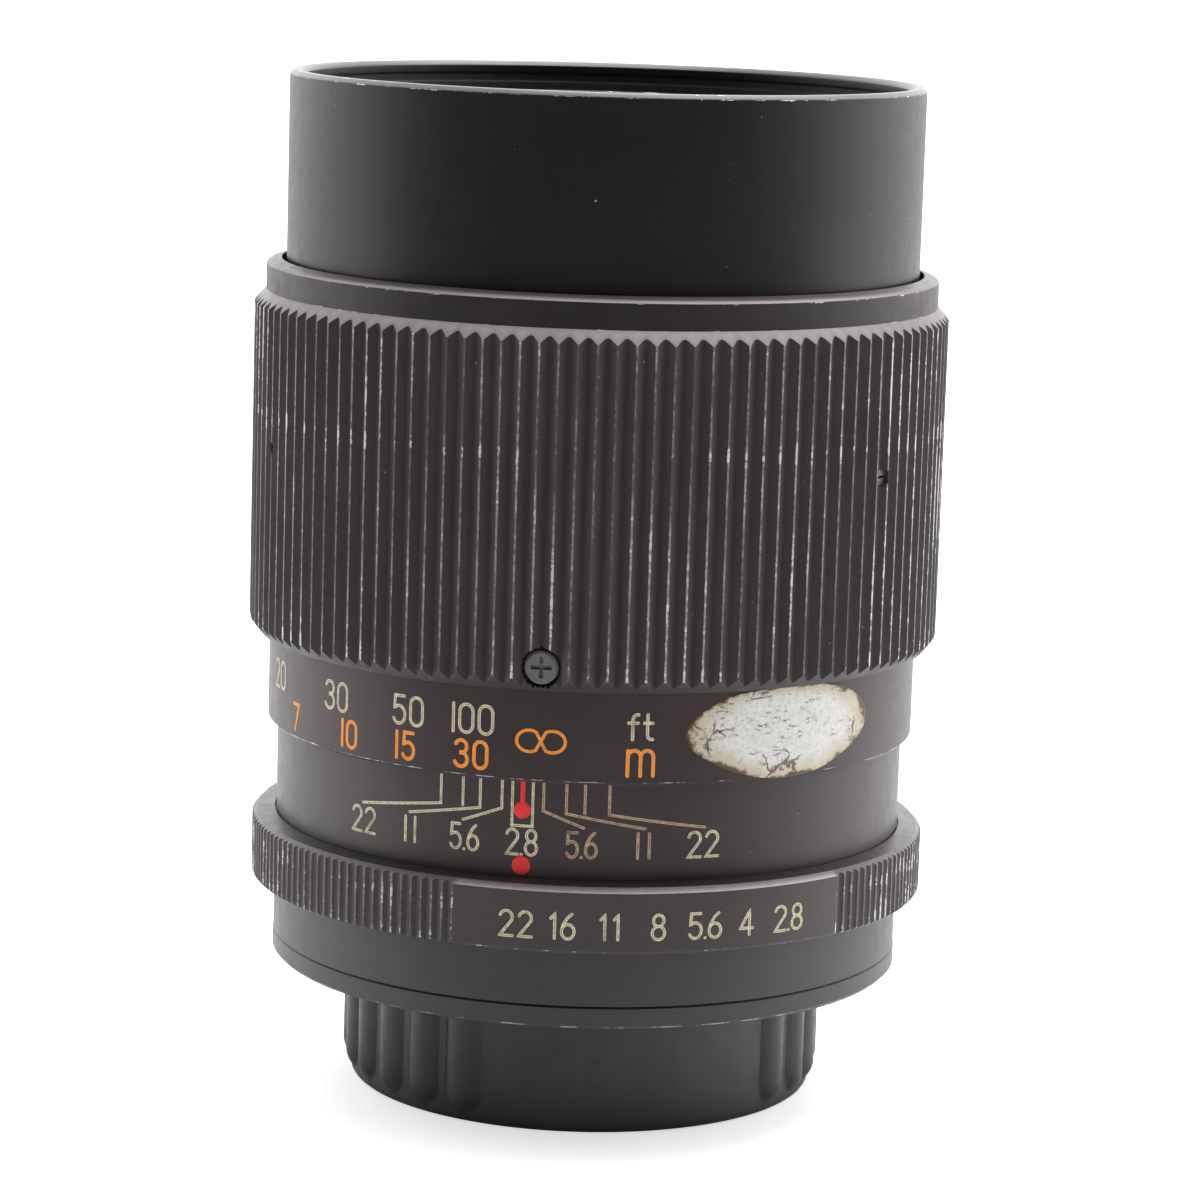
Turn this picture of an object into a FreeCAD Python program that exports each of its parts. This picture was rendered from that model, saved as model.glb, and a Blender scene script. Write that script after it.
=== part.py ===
"""135 mm prime camera lens, front up on its rear cap, as separate closed solids (mm, +Z up).

Azimuths called "rel" start at -Y, where the index line is, and grow towards +X.
"""
import FreeCAD, Part
import math
import os

V = FreeCAD.Vector
AXIS = V(0, 0, 1)
ORIGIN = V(0, 0, 0)

# ---- hood and front barrel
HOOD_R = 30.5
HOOD_BORE = 29.0
HOOD_TOP = 98.3
HOOD_FOOT = 75.0
FRONT_R = 28.92
FRONT_TOP = 95.5
FRONT_SEAT_R = 26.6
INNER_R = 26.7
FILTER_R = 27.1
FELT_FOOT = 90.8
FELT_TOP = 94.0

# ---- focus ring: grip, distance sleeve, helicoid
GRIP_R = 33.5
GRIP_BORE = 31.5
GRIP_TOP = 80.35
GRIP_FOOT = 44.4
FLUTES = 120
FLUTE_DEPTH = 0.6
FLUTE_PHASE = 0.2
SLEEVE_R = 31.5
SLEEVE_BORE = 30.65
SLEEVE_TOP = 74.5
SLEEVE_FOOT = 35.6
HELICOID_BORE = 28.65
GRIP_SCREW_REL = 3.25
GRIP_SCREW_Z = 46.6
SET_SCREW_REL = 63.8
SET_SCREW_Z = 63.15

# ---- fixed barrel and base
BARREL_R = 30.55
BARREL_BORE = 27.5
JOURNAL_R = 29.45
NOSE_R = 28.6
NOSE_TOP = 70.0
BASE_R = 30.7
SEAM_Z = 14.5
FLANGE_Z = 12.4
THREAD_R = 21.0
THREAD_FOOT = 7.6
COLLAR_BORE = 19.5

# ---- aperture ring and its drive
RING_R = 32.9
RING_BORE = 29.52
RING_FOOT = 20.1
RING_TOP = 27.0
KNURLS = 192
KNURL_DEPTH = 0.24
PANEL_FROM = -10.1
PANEL_TO = 57.0
STOP_STEP = 7.7
RING_TRAVEL = 46.2
LEVER_REL = 211.4
DETENT_REL = 90.0
DETENT_Z = 24.6

# ---- iris
BLADES = 6
PIVOT_R = 21.2
BLADE_IN = 12.1
BLADE_OUT = 19.8
BLADE_SPAN = 108.0
BLADE_SWING = 28.88
BLADE_T = 0.12
BLADE_STEP = 0.2
BLADE_Z = 55.2
PIN_ARM = 3.2

# ---- stop-down pin
PIN_REL = 170.0
PIN_ORBIT = 16.8

# ---- rear cap
CAP_R = 22.7
CAP_RIB_R = 23.5
CAP_TOP = 12.35
CAP_BORE = 21.1
RIB_PITCH = 12.0
RIBS_PER_GROUP = 9
RIB_FIRST_REL = 66.0


# ------------------------------------------------------------------ small helpers
def at(rel, radius, z):
    """Point at an azimuth measured from the index line."""
    a = math.radians(rel)
    return V(radius * math.sin(a), -radius * math.cos(a), z)


def outward(rel):
    return at(rel, 1.0, 0.0)


def spin(shape, degrees, centre=ORIGIN):
    copy = shape.copy()
    copy.rotate(centre, AXIS, degrees)
    return copy


def ring(points):
    """Solid of revolution about Z of a closed (radius, height) outline."""
    corners = [V(r, 0, z) for r, z in points]
    face = Part.Face(Part.makePolygon(corners + corners[:1]))
    return face.revolve(ORIGIN, AXIS, 360)


def tube(r_in, r_out, z0, z1):
    return ring([(r_in, z0), (r_out, z0), (r_out, z1), (r_in, z1)])


def disc(radius, z0, z1, centre=ORIGIN):
    return Part.makeCylinder(radius, z1 - z0, V(centre.x, centre.y, z0))


def radial_rod(radius, r0, r1, rel, z):
    """Round rod pointing away from the optical axis."""
    return Part.makeCylinder(radius, r1 - r0, at(rel, r0, z), outward(rel))


def radial_box(r0, r1, width, z0, z1, rel):
    """Block whose long sides face along the tangent."""
    block = Part.makeBox(r1 - r0, width, z1 - z0, V(r0, -width / 2, z0))
    return spin(block, rel - 90.0)


def sector(r_in, r_out, z0, z1, rel_from, rel_to):
    """Part of a tube between two azimuths."""
    corners = [V(r_in, 0, z0), V(r_out, 0, z0), V(r_out, 0, z1), V(r_in, 0, z1)]
    face = Part.Face(Part.makePolygon(corners + corners[:1]))
    return spin(face.revolve(ORIGIN, AXIS, rel_to - rel_from), rel_from - 90.0)


def thread_outline(crest, root, z_from, z_to, pitch):
    """Points of plain V turns along a thread, going from z_from to z_to."""
    turns = int(abs(z_to - z_from) / pitch)
    step = (z_to - z_from) / turns
    points = []
    for i in range(turns):
        z = z_from + i * step
        points.append((crest, z + 0.1 * step))
        points.append((root, z + 0.5 * step))
        points.append((crest, z + 0.9 * step))
    return points


def toothed_prism(crest, root, count, phase, land, z0, z1, skip=None):
    """Prism with V grooves; `skip` leaves a smooth band between two azimuths."""
    pitch = 360.0 / count
    edges = []
    first = None
    last = None
    for i in range(count):
        centre = phase + i * pitch
        inside = skip and skip[0] < centre < skip[1]
        if inside:
            continue
        start = at(centre - pitch / 2 + land / 2, crest, z0)
        valley = at(centre, root, z0)
        end = at(centre + pitch / 2 - land / 2, crest, z0)
        if last is None:
            first = start
        elif (start - last[0]).Length > 2.0:
            middle = at((last[1] + centre - pitch / 2) / 2, crest, z0)
            edges.append(Part.Arc(last[0], middle, start).toShape())
        else:
            edges.append(Part.makeLine(last[0], start))
        edges.append(Part.makeLine(start, valley))
        edges.append(Part.makeLine(valley, end))
        last = (end, centre + pitch / 2)
    if (first - last[0]).Length > 2.0:
        middle = at((last[1] + phase + 360.0 - pitch / 2) / 2, crest, z0)
        edges.append(Part.Arc(last[0], middle, first).toShape())
    else:
        edges.append(Part.makeLine(last[0], first))
    face = Part.Face(Part.Wire(edges))
    return face.extrude(V(0, 0, z1 - z0))


def group(shapes):
    return Part.makeCompound(shapes)


def thirds(shape):
    """Three copies of one solid, 120 degrees apart."""
    return [spin(shape, 120.0 * i) for i in range(3)]


def save(name, shape):
    solids = shape.Solids
    clean = group(solids) if len(solids) > 1 else solids[0]
    for solid in solids:
        if not solid.isValid():
            raise ValueError(name + " is not a valid solid")
    clean.exportStep(os.path.join("parts", name + ".step"))
    print(name, len(solids), round(sum(s.Volume for s in solids), 1))


# ------------------------------------------------------------------ fasteners
def phillips_screw(rel, z, head_r, seat, head_top, foot, shank_r):
    """Cross-recessed pan-head screw pointing at the axis."""
    head = radial_rod(head_r, seat, head_top, rel, z)
    edges = [e for e in head.Edges if abs(e.BoundBox.Center.Length - at(rel, head_top, z).Length) < 0.05]
    head = head.makeChamfer(0.2, edges[:1])
    screw = head.fuse(radial_rod(shank_r, foot, seat, rel, z))
    depth = head_top - 0.4
    upright = radial_box(depth, head_top + 1, 0.36, z - head_r * 0.62, z + head_r * 0.62, rel)
    level = radial_box(depth, head_top + 1, head_r * 1.24, z - 0.18, z + 0.18, rel)
    return screw.cut(upright).cut(level)


def slotted_set_screw(rel, z, radius, foot, top):
    """Headless screw with a straight driver slot."""
    body = radial_rod(radius, foot, top, rel, z)
    return body.cut(radial_box(top - 0.4, top + 1, radius * 3, z - 0.12, z + 0.12, rel))


def axial_screw(centre, head_r, shank_r, z_head, z_seat, z_foot):
    """Slotted screw along Z; the head face is at z_head."""
    low, high = sorted((z_head, z_seat))
    head = disc(head_r, low, high, centre)
    low, high = sorted((z_seat, z_foot))
    screw = head.fuse(disc(shank_r, low, high, centre))
    inward = 0.35 if z_seat > z_head else -0.35
    low, high = sorted((z_head - inward, z_head + inward))
    slot = Part.makeBox(head_r * 3, 0.3, high - low, V(centre.x - head_r * 1.5, centre.y - 0.15, low))
    return screw.cut(slot)


# ------------------------------------------------------------------ base and fixed barrel
def base_flange():
    """Rear face ring with the screw-mount collar below it."""
    outline = [(COLLAR_BORE, THREAD_FOOT), (THREAD_R - 0.5, THREAD_FOOT)]
    outline += [(THREAD_R, THREAD_FOOT + 0.5)]
    outline += thread_outline(THREAD_R, THREAD_R - 0.5, THREAD_FOOT + 0.6, FLANGE_Z - 0.8, 1.0)
    outline += [(THREAD_R - 0.5, FLANGE_Z - 0.5), (THREAD_R - 0.5, FLANGE_Z)]
    outline += [(BASE_R - 0.45, FLANGE_Z), (BASE_R, FLANGE_Z + 0.45)]
    outline += [(BASE_R, SEAM_Z - 0.12), (BASE_R - 0.12, SEAM_Z), (COLLAR_BORE, SEAM_Z)]
    flange = ring(outline)
    for centre in mount_screw_places():
        flange = flange.cut(disc(1.1, FLANGE_Z - 1, FLANGE_Z + 0.7, centre))
        flange = flange.cut(disc(0.6, FLANGE_Z, SEAM_Z + 1, centre))
    return flange


def mount_screw_places():
    return [at(40 + 120 * i, 28.3, 0) for i in range(3)]


def mount_screws():
    return group([axial_screw(c, 1.1, 0.6, FLANGE_Z, FLANGE_Z + 0.7, SEAM_Z + 3.0)
                  for c in mount_screw_places()])


def base_housing():
    r = BASE_R - 0.05
    z_top = RING_FOOT - 0.05
    return ring([(29.0, SEAM_Z), (r - 0.12, SEAM_Z), (r, SEAM_Z + 0.12),
                 (r, z_top - 0.25), (r - 0.25, z_top), (29.0, z_top)])


def fixed_barrel():
    """Main tube: rear spigot, aperture journal, outer skin and focusing nose."""
    tubes = ring([(BARREL_BORE, SEAM_Z), (29.0, SEAM_Z), (29.0, RING_FOOT), (JOURNAL_R, RING_FOOT),
                  (JOURNAL_R, 26.3), (BARREL_R, 26.3), (BARREL_R, 48.5), (NOSE_R, 48.5),
                  (NOSE_R, NOSE_TOP), (BARREL_BORE, NOSE_TOP)])
    for z in range(51, 69, 3):
        tubes = tubes.cut(ring([(NOSE_R + 1, z - 0.9), (NOSE_R + 1, z + 0.9), (NOSE_R, z + 0.7),
                                (NOSE_R - 0.4, z + 0.35), (NOSE_R - 0.4, z - 0.35), (NOSE_R, z - 0.7)]))
    tubes = tubes.cut(sector(26, 31, 21.5, 23.5, LEVER_REL - RING_TRAVEL - 2.2, LEVER_REL + 2.2))
    tubes = tubes.cut(radial_rod(1.02, 27.95, 31, DETENT_REL, DETENT_Z))
    for centre in mount_screw_places():
        tubes = tubes.cut(disc(0.6, SEAM_Z - 1, SEAM_Z + 3.0, centre))
    for z in key_screw_heights():
        tubes = tubes.cut(radial_rod(0.8, 26, 30, 300, z))
    return tubes


def key_screw_heights():
    return (61.5, 66.5)


def focus_key():
    """Straight key that keeps the optical unit from turning."""
    key = radial_box(25.95, BARREL_BORE + 0.5, 4.0, 60.0, 68.0, 300)
    key = key.common(disc(BARREL_BORE, 59, 69))
    for z in key_screw_heights():
        key = key.cut(radial_rod(0.8, 26.4, 30, 300, z))
    return key


def key_screws():
    return group([slotted_set_screw(300, z, 0.8, 26.4, NOSE_R - 0.45) for z in key_screw_heights()])


def detent_ball():
    return Part.makeSphere(1.0, at(DETENT_REL, 28.95, DETENT_Z))


def rear_baffle():
    """Black plate inside the collar with the light opening and the pin hole."""
    plate = ring([(13.5, 9.0), (COLLAR_BORE, 9.0), (COLLAR_BORE, 10.0), (14.2, 10.0)])
    return plate.cut(disc(1.06, 8, 11, at(PIN_REL, PIN_ORBIT, 0)))


def pin_guide():
    """Turret on the baffle that carries the stop-down pin and its spring."""
    centre = at(PIN_REL, PIN_ORBIT, 0)
    turret = disc(2.6, 10.0, 20.0, centre)
    turret = turret.cut(disc(2.1, 9.0, 19.0, centre))
    turret = turret.cut(disc(0.78, 18.0, 21.0, centre))
    window = Part.makeBox(2.4, 6, 6.5, V(centre.x - 1.2, centre.y, 11.5))
    return turret.cut(window)


def stop_down_pin():
    centre = at(PIN_REL, PIN_ORBIT, 0)
    pin = disc(1.0, 6.0, 10.05, centre)
    pin = pin.makeFillet(0.4, [e for e in pin.Edges if abs(e.BoundBox.ZMax - 6.0) < 0.01][:1])
    pin = pin.fuse(disc(2.0, 10.05, 11.0, centre))
    return pin.fuse(disc(0.7, 11.0, 21.5, centre)).removeSplitter()


def pin_spring():
    """Round-wire compression spring between the pin's collar and the turret's lid."""
    centre = at(PIN_REL, PIN_ORBIT, 0)
    path = Part.makeHelix(1.17, 7.5, 1.4)
    path.translate(V(centre.x, centre.y, 11.25))
    start = V(centre.x + 1.4, centre.y, 11.25)
    loop = Part.Wire(Part.makeCircle(0.22, start, V(0, 1, 0.13)))
    return Part.Wire(path.Edges).makePipeShell([loop], True, True)


# ------------------------------------------------------------------ aperture ring and drive
def aperture_ring():
    """Knurled ring with a smooth panel for the stop numbers."""
    phase = PANEL_TO + 180.0 / KNURLS
    teeth = toothed_prism(RING_R, RING_R - KNURL_DEPTH, KNURLS, phase, 0.45, RING_FOOT - 1, RING_TOP + 1,
                          (PANEL_FROM + 360.0, PANEL_TO + 360.0))
    shell = ring([(RING_BORE, RING_FOOT), (RING_R - 0.3, RING_FOOT), (RING_R + 0.05, RING_FOOT + 0.35),
                  (RING_R + 0.05, 25.8), (32.4, 26.35), (30.7, RING_TOP), (30.65, RING_TOP),
                  (30.65, 26.2), (RING_BORE, 26.2), (RING_BORE, DETENT_Z + 1.0), (30.05, DETENT_Z + 1.0),
                  (30.05, DETENT_Z - 1.0), (RING_BORE, DETENT_Z - 1.0)])
    body = teeth.common(shell)
    for i in range(7):
        body = body.cut(Part.makeSphere(0.9, at(DETENT_REL + STOP_STEP * i, 29.35, DETENT_Z)))
    return body.cut(radial_rod(0.8, 29, 31.2, LEVER_REL, 22.5))


def aperture_drive_ring():
    """Inner ring with the two fork prongs that straddle the iris lever."""
    body = tube(25.4, 27.1, 21.0, 24.0)
    body = body.fuse(sector(22.2, 25.8, 21.0, 22.4, LEVER_REL - 11, LEVER_REL + 11))
    prong = Part.makeBox(1.5, 2.2, 23.0, V(22.2, 1.58, 21.0))
    for piece in (prong, prong.mirror(ORIGIN, V(0, 1, 0))):
        body = body.fuse(spin(piece, LEVER_REL - 90.0))
    return body.cut(radial_rod(0.8, 24, 28, LEVER_REL, 22.5)).removeSplitter()


def aperture_drive_screw():
    """Screw that ties the outer ring to the drive ring through the barrel slot."""
    return radial_rod(0.8, 25.6, 31.2, LEVER_REL, 22.5)


# ------------------------------------------------------------------ iris
def pivot(k):
    return spin_point(V(PIVOT_R, 0, 0), 60.0 * k)


def spin_point(point, degrees, centre=ORIGIN):
    a = math.radians(degrees)
    d = point - centre
    turned = V(d.x * math.cos(a) - d.y * math.sin(a), d.x * math.sin(a) + d.y * math.cos(a), d.z)
    return centre + turned


def drive_pin_point(k, opening):
    """Drive pin centre for blade k; opening 0 is stopped down, 1 is fully open."""
    p = pivot(k)
    direction = 60.0 * k + 90.0 - BLADE_SWING / 2 + BLADE_SWING * opening
    return p + spin_point(V(PIN_ARM, 0, 0), direction)


def strap(p, q, half, z0, z1):
    """Flat strip between two points."""
    along = q - p
    side = V(-along.y, along.x, 0)
    side.normalize()
    side.multiply(half)
    corners = [p + side, q + side, q - side, p - side]
    corners = [V(c.x, c.y, z0) for c in corners]
    return Part.Face(Part.makePolygon(corners + corners[:1])).extrude(V(0, 0, z1 - z0))


def iris_blade(k):
    """Curved blade with a pivot pin in front and a drive pin behind, drawn stopped down."""
    z0 = BLADE_Z + BLADE_STEP * k
    z1 = z0 + BLADE_T
    p = pivot(k)
    q = drive_pin_point(k, 1.0)
    mid = (BLADE_IN + BLADE_OUT) / 2
    half = (BLADE_OUT - BLADE_IN) / 2
    base = 60.0 * k + 90.0
    leaf = sector(BLADE_IN, BLADE_OUT, z0, z1, base - BLADE_SPAN, base + 4.0)
    tip = spin_point(V(mid, 0, 0), 60.0 * k - BLADE_SPAN)
    leaf = leaf.fuse(disc(half, z0, z1, tip))
    root = spin_point(V(18.6, 0, 0), 60.0 * k)
    leaf = leaf.fuse(strap(root, p, 0.95, z0, z1)).fuse(disc(0.95, z0, z1, p))
    leaf = leaf.fuse(strap(p, q, 0.7, z0, z1)).fuse(disc(0.75, z0, z1, q))
    leaf = leaf.fuse(disc(0.5, z0, 57.4, p))
    leaf = leaf.fuse(disc(0.45, 54.15, z1, q)).removeSplitter()
    return spin(leaf, -BLADE_SWING, p)


def cam_slot(k):
    """Slot that follows the drive pin while the ring turns through its travel."""
    steps = 24
    half = 0.51
    centres = []
    for i in range(steps + 1):
        t = i / steps
        centres.append(spin_point(drive_pin_point(k, t), RING_TRAVEL * t))
    left = []
    right = []
    for i, c in enumerate(centres):
        before = centres[max(i - 1, 0)]
        after = centres[min(i + 1, steps)]
        side = V(before.y - after.y, after.x - before.x, 0)
        side.normalize()
        side.multiply(half)
        left.append(V(c.x + side.x, c.y + side.y, 53.0))
        right.append(V(c.x - side.x, c.y - side.y, 53.0))
    corners = left + right[::-1]
    slot = Part.Face(Part.makePolygon(corners + corners[:1])).extrude(V(0, 0, 3))
    for end in (centres[0], centres[-1]):
        slot = slot.fuse(disc(half, 53, 56, end))
    return slot


def iris_cam_ring():
    body = tube(18.5, 23.8, 54.05, 55.05)
    for k in range(BLADES):
        body = body.cut(cam_slot(k))
    lever = radial_box(22.3, 23.55, 3.0, 28.0, 54.3, LEVER_REL)
    return body.fuse(lever).removeSplitter()


def iris_housing():
    """Cup with a lever slot in its floor."""
    cup = ring([(13.5, 53.0), (25.2, 53.0), (25.2, 58.5), (23.9, 58.5), (23.9, 54.0), (13.5, 54.0)])
    return cup.cut(sector(22.05, 23.75, 52, 54.5, LEVER_REL - RING_TRAVEL - 4.6, LEVER_REL + 4.6))


def iris_front_plate():
    plate = ring([(12.0, 56.7), (23.9, 56.7), (23.9, 57.5), (12.6, 57.5)])
    for k in range(BLADES):
        plate = plate.cut(disc(0.56, 56, 58, pivot(k)))
    return plate


def iris_retaining_ring():
    body = tube(22.3, 23.9, 57.5, 58.5)
    for i in range(2):
        body = body.cut(radial_box(22.0, 23.2, 1.2, 58.0, 59.0, 180 * i))
    return body


# ------------------------------------------------------------------ optical unit
def inner_barrel():
    """Tube carried by the focusing ring, with its captive flange and key groove."""
    body = ring([(25.2, 46.0), (INNER_R, 46.0), (INNER_R, 71.05), (30.2, 71.05), (30.2, 73.0),
                 (INNER_R, 73.0), (INNER_R, 75.5), (25.2, 75.5)])
    return body.cut(radial_box(25.85, 28.0, 4.12, 45.0, 68.4, 300))


def front_barrel():
    """Front tube with the filter thread; the hood slides on its outside."""
    outline = [(INNER_R, 73.0), (FRONT_R, 73.0), (FRONT_R, FELT_FOOT), (28.3, FELT_FOOT), (28.3, FELT_TOP)]
    outline += [(FRONT_R, FELT_TOP), (FRONT_R, FRONT_TOP - 0.2), (FRONT_R - 0.2, FRONT_TOP)]
    outline += [(FILTER_R + 0.4, FRONT_TOP), (FILTER_R, FRONT_TOP - 0.4), (FILTER_R, 91.5)]
    outline += [(FRONT_SEAT_R, 91.5), (FRONT_SEAT_R, 86.5), (24.6, 86.5), (24.6, 78.5), (25.2, 78.5), (25.2, 75.5)]
    outline += [(INNER_R, 75.5)]
    return ring(outline)


def hood_felt():
    return tube(28.3, 28.96, FELT_FOOT, FELT_TOP)


def front_retaining_ring():
    """Front ring that clamps the first element, with two spanner notches."""
    r = FRONT_SEAT_R
    body = ring([(24.0, 86.5), (r, 86.5), (r, 89.0), (r - 0.4, 89.3), (24.9, 87.9), (24.0, 87.9)])
    for i in range(2):
        body = body.cut(radial_box(r - 0.8, r + 0.5, 1.4, 88.4, 90.0, 90 + 180 * i))
    return body


def element_spacer():
    return ring([(21.4, 77.2), (22.0, 77.2), (22.0, 78.5), (24.6, 78.5), (24.6, 83.0),
                 (23.6, 83.0), (22.6, 81.0), (21.4, 79.4)])


def lens_cell():
    """Stepped cell for the second and third elements."""
    return ring([(16.4, 62.0), (25.2, 62.0), (25.2, 78.5), (22.0, 78.5), (22.0, 74.2), (20.2, 74.2),
                 (20.2, 71.0), (18.0, 71.0), (18.0, 66.0), (16.4, 66.0)])


def third_element_ring():
    return ring([(16.7, 71.0), (20.2, 71.0), (20.2, 72.4), (18.2, 72.4)])


def sag(radius, aperture):
    return radius - math.sqrt(radius * radius - aperture * aperture)


def bulge(aperture, z_edge, radius, upward):
    """Arc from the rim to the axis; a negative radius is a hollow face."""
    side = (1 if radius > 0 else -1) * upward
    depth = sag(abs(radius), aperture)
    half = sag(abs(radius), aperture / 2)
    apex = z_edge + side * depth
    middle = V(aperture / 2, 0, apex - side * half)
    return Part.Arc(V(aperture, 0, z_edge), middle, V(0, 0, apex)).toShape(), apex


def element(rim, front, rear):
    """Ground glass: front and rear are (clear radius, rim height, curvature radius)."""
    front_arc, top = bulge(front[0], front[1], front[2], 1)
    rear_arc, bottom = bulge(rear[0], rear[1], rear[2], -1)
    edges = [front_arc, Part.makeLine(V(0, 0, top), V(0, 0, bottom)), rear_arc]
    edges.append(Part.makeLine(V(rear[0], 0, rear[1]), V(rim, 0, rear[1])))
    edges.append(Part.makeLine(V(rim, 0, rear[1]), V(rim, 0, front[1])))
    edges.append(Part.makeLine(V(rim, 0, front[1]), V(front[0], 0, front[1])))
    wire = Part.Wire(Part.__sortEdges__(edges))
    return Part.Face(wire).revolve(ORIGIN, AXIS, 360)


def rear_cell():
    """Cell of the last element, screwed into the iris housing."""
    return ring([(12.4, 49.0), (14.5, 49.0), (14.5, 45.4), (16.4, 45.4), (16.4, 44.0), (19.6, 44.0),
                 (20.2, 44.6), (20.2, 51.4), (21.9, 51.4), (21.9, 53.0), (13.5, 53.0), (13.5, 54.0),
                 (12.4, 54.0)])


def rear_retaining_ring():
    body = ring([(13.7, 44.6), (16.4, 44.6), (16.4, 45.4), (14.5, 45.4), (14.5, 46.6), (13.7, 46.6)])
    for i in range(2):
        body = body.cut(radial_box(15.2, 17.0, 1.2, 44.0, 45.1, 180 * i))
    return body


# ------------------------------------------------------------------ focus ring
def focus_grip():
    """Fluted grip with its plain collar and the screw recesses."""
    root = GRIP_R - FLUTE_DEPTH
    teeth = toothed_prism(GRIP_R, root, FLUTES, FLUTE_PHASE, 0.26, GRIP_FOOT - 1, GRIP_TOP + 1)
    shell = ring([(GRIP_BORE, GRIP_FOOT), (32.6, GRIP_FOOT), (GRIP_R + 0.05, 45.65),
                  (GRIP_R + 0.05, 76.05), (32.4, 77.35), (32.4, 79.75), (32.15, 80.0),
                  (30.95, GRIP_TOP), (30.95, SLEEVE_TOP), (GRIP_BORE, SLEEVE_TOP)])
    body = teeth.common(shell)
    for i in range(3):
        rel = GRIP_SCREW_REL + 120 * i
        body = body.cut(radial_rod(2.1, 32.25, 35, rel, GRIP_SCREW_Z))
        body = body.cut(radial_rod(0.7, 31, 33, rel, GRIP_SCREW_Z))
        body = body.cut(radial_rod(0.75, 31, 35, SET_SCREW_REL + 120 * i, SET_SCREW_Z))
    return body


def distance_sleeve():
    """Scale ring and carrier of the grip."""
    body = ring([(SLEEVE_BORE, SLEEVE_FOOT), (SLEEVE_R - 0.3, SLEEVE_FOOT), (SLEEVE_R, SLEEVE_FOOT + 0.3),
                 (SLEEVE_R, SLEEVE_TOP), (SLEEVE_BORE, SLEEVE_TOP)])
    for i in range(3):
        body = body.cut(radial_rod(0.7, 29, 33, GRIP_SCREW_REL + 120 * i, GRIP_SCREW_Z))
    return body


def helicoid_ring():
    """Focusing ring with coarse inside turns on the barrel's nose."""
    body = tube(HELICOID_BORE, SLEEVE_BORE, 49.0, 71.0)
    for z in range(51, 70, 3):
        body = body.cut(ring([(HELICOID_BORE - 1, z - 0.9), (HELICOID_BORE, z - 0.7),
                              (HELICOID_BORE + 0.4, z - 0.35), (HELICOID_BORE + 0.4, z + 0.35),
                              (HELICOID_BORE, z + 0.7), (HELICOID_BORE - 1, z + 0.9)]))
    return body


def retainer_ring():
    body = tube(29.0, SLEEVE_BORE, 73.05, SLEEVE_TOP)
    for i in range(2):
        body = body.cut(radial_box(28.5, 30.0, 1.4, 73.9, 75.0, 45 + 180 * i))
    return body


def grip_screws():
    one = phillips_screw(GRIP_SCREW_REL, GRIP_SCREW_Z, 1.55, 32.25, 33.0, SLEEVE_BORE, 0.7)
    return group(thirds(one))


def set_screws():
    return group(thirds(slotted_set_screw(SET_SCREW_REL, SET_SCREW_Z, 0.75, GRIP_BORE, 32.95)))


def inspection_sticker():
    """Thin oval label on the scale ring, cut flat where the grip begins."""
    centre = at(46.8, 28.0, 39.9)
    oval = Part.Ellipse(ORIGIN, 10.4, 4.15).toShape()
    plate = Part.Face(Part.Wire(oval)).extrude(V(0, 0, 6))
    plate.rotate(ORIGIN, V(1, 0, 0), 90)
    plate.rotate(ORIGIN, AXIS, 46.8)
    plate.translate(centre)
    return plate.common(tube(SLEEVE_R, SLEEVE_R + 0.08, 35.95, 44.3))


# ------------------------------------------------------------------ hood and rear cap
def hood():
    """Sliding sun hood with bevelled rim."""
    return ring([(HOOD_BORE, HOOD_FOOT), (HOOD_R, HOOD_FOOT), (HOOD_R, HOOD_TOP - 0.4),
                 (HOOD_R - 0.4, HOOD_TOP), (HOOD_R - 0.95, HOOD_TOP), (HOOD_BORE, HOOD_TOP - 0.45)])


def cap_rib(rel):
    """Rounded upright rib with a domed lower end."""
    swell = 2.6
    centre = at(rel, CAP_RIB_R - swell, 0)
    rod = disc(swell, 2.9, CAP_TOP - 0.75, centre)
    return rod.fuse(Part.makeSphere(swell, V(centre.x, centre.y, 2.9)))


def rear_cap():
    """Screw-on rear cap with two groups of grip ribs."""
    body = ring([(0, 0), (CAP_R - 0.8, 0), (CAP_R - 0.24, 0.24), (CAP_R, 0.8), (CAP_R, CAP_TOP - 0.7),
                 (CAP_R - 0.2, CAP_TOP - 0.7), (CAP_R - 0.2, CAP_TOP), (0, CAP_TOP)])
    for side in (0, 180):
        for i in range(RIBS_PER_GROUP):
            body = body.fuse(cap_rib(RIB_FIRST_REL + side + RIB_PITCH * i))
    body = body.common(disc(CAP_RIB_R + 1, 0, CAP_TOP))
    bore = [(0, 1.6), (20.5, 1.6), (20.5, 7.3), (CAP_BORE, 7.4)]
    bore += thread_outline(CAP_BORE, CAP_BORE + 0.4, 7.6, CAP_TOP - 0.6, 1.0)
    bore += [(CAP_BORE, CAP_TOP - 0.3), (CAP_BORE + 0.3, CAP_TOP), (CAP_BORE + 0.3, 13), (0, 13)]
    return body.cut(ring(bore)).removeSplitter()


# ------------------------------------------------------------------ build
def build_fixed():
    save("base_flange", base_flange())
    save("mount_screws", mount_screws())
    save("base_housing", base_housing())
    save("fixed_barrel", fixed_barrel())
    save("focus_key", focus_key())
    save("key_screws", key_screws())
    save("detent_ball", detent_ball())
    save("rear_baffle", rear_baffle())
    save("pin_guide", pin_guide())
    save("stop_down_pin", stop_down_pin())
    save("pin_spring", pin_spring())


def build_aperture():
    save("aperture_ring", aperture_ring())
    save("aperture_drive_ring", aperture_drive_ring())
    save("aperture_drive_screw", aperture_drive_screw())
    save("iris_cam_ring", iris_cam_ring())
    save("iris_housing", iris_housing())
    save("iris_front_plate", iris_front_plate())
    save("iris_retaining_ring", iris_retaining_ring())
    for k in range(BLADES):
        save("iris_blade_%d" % (k + 1), iris_blade(k))


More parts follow.
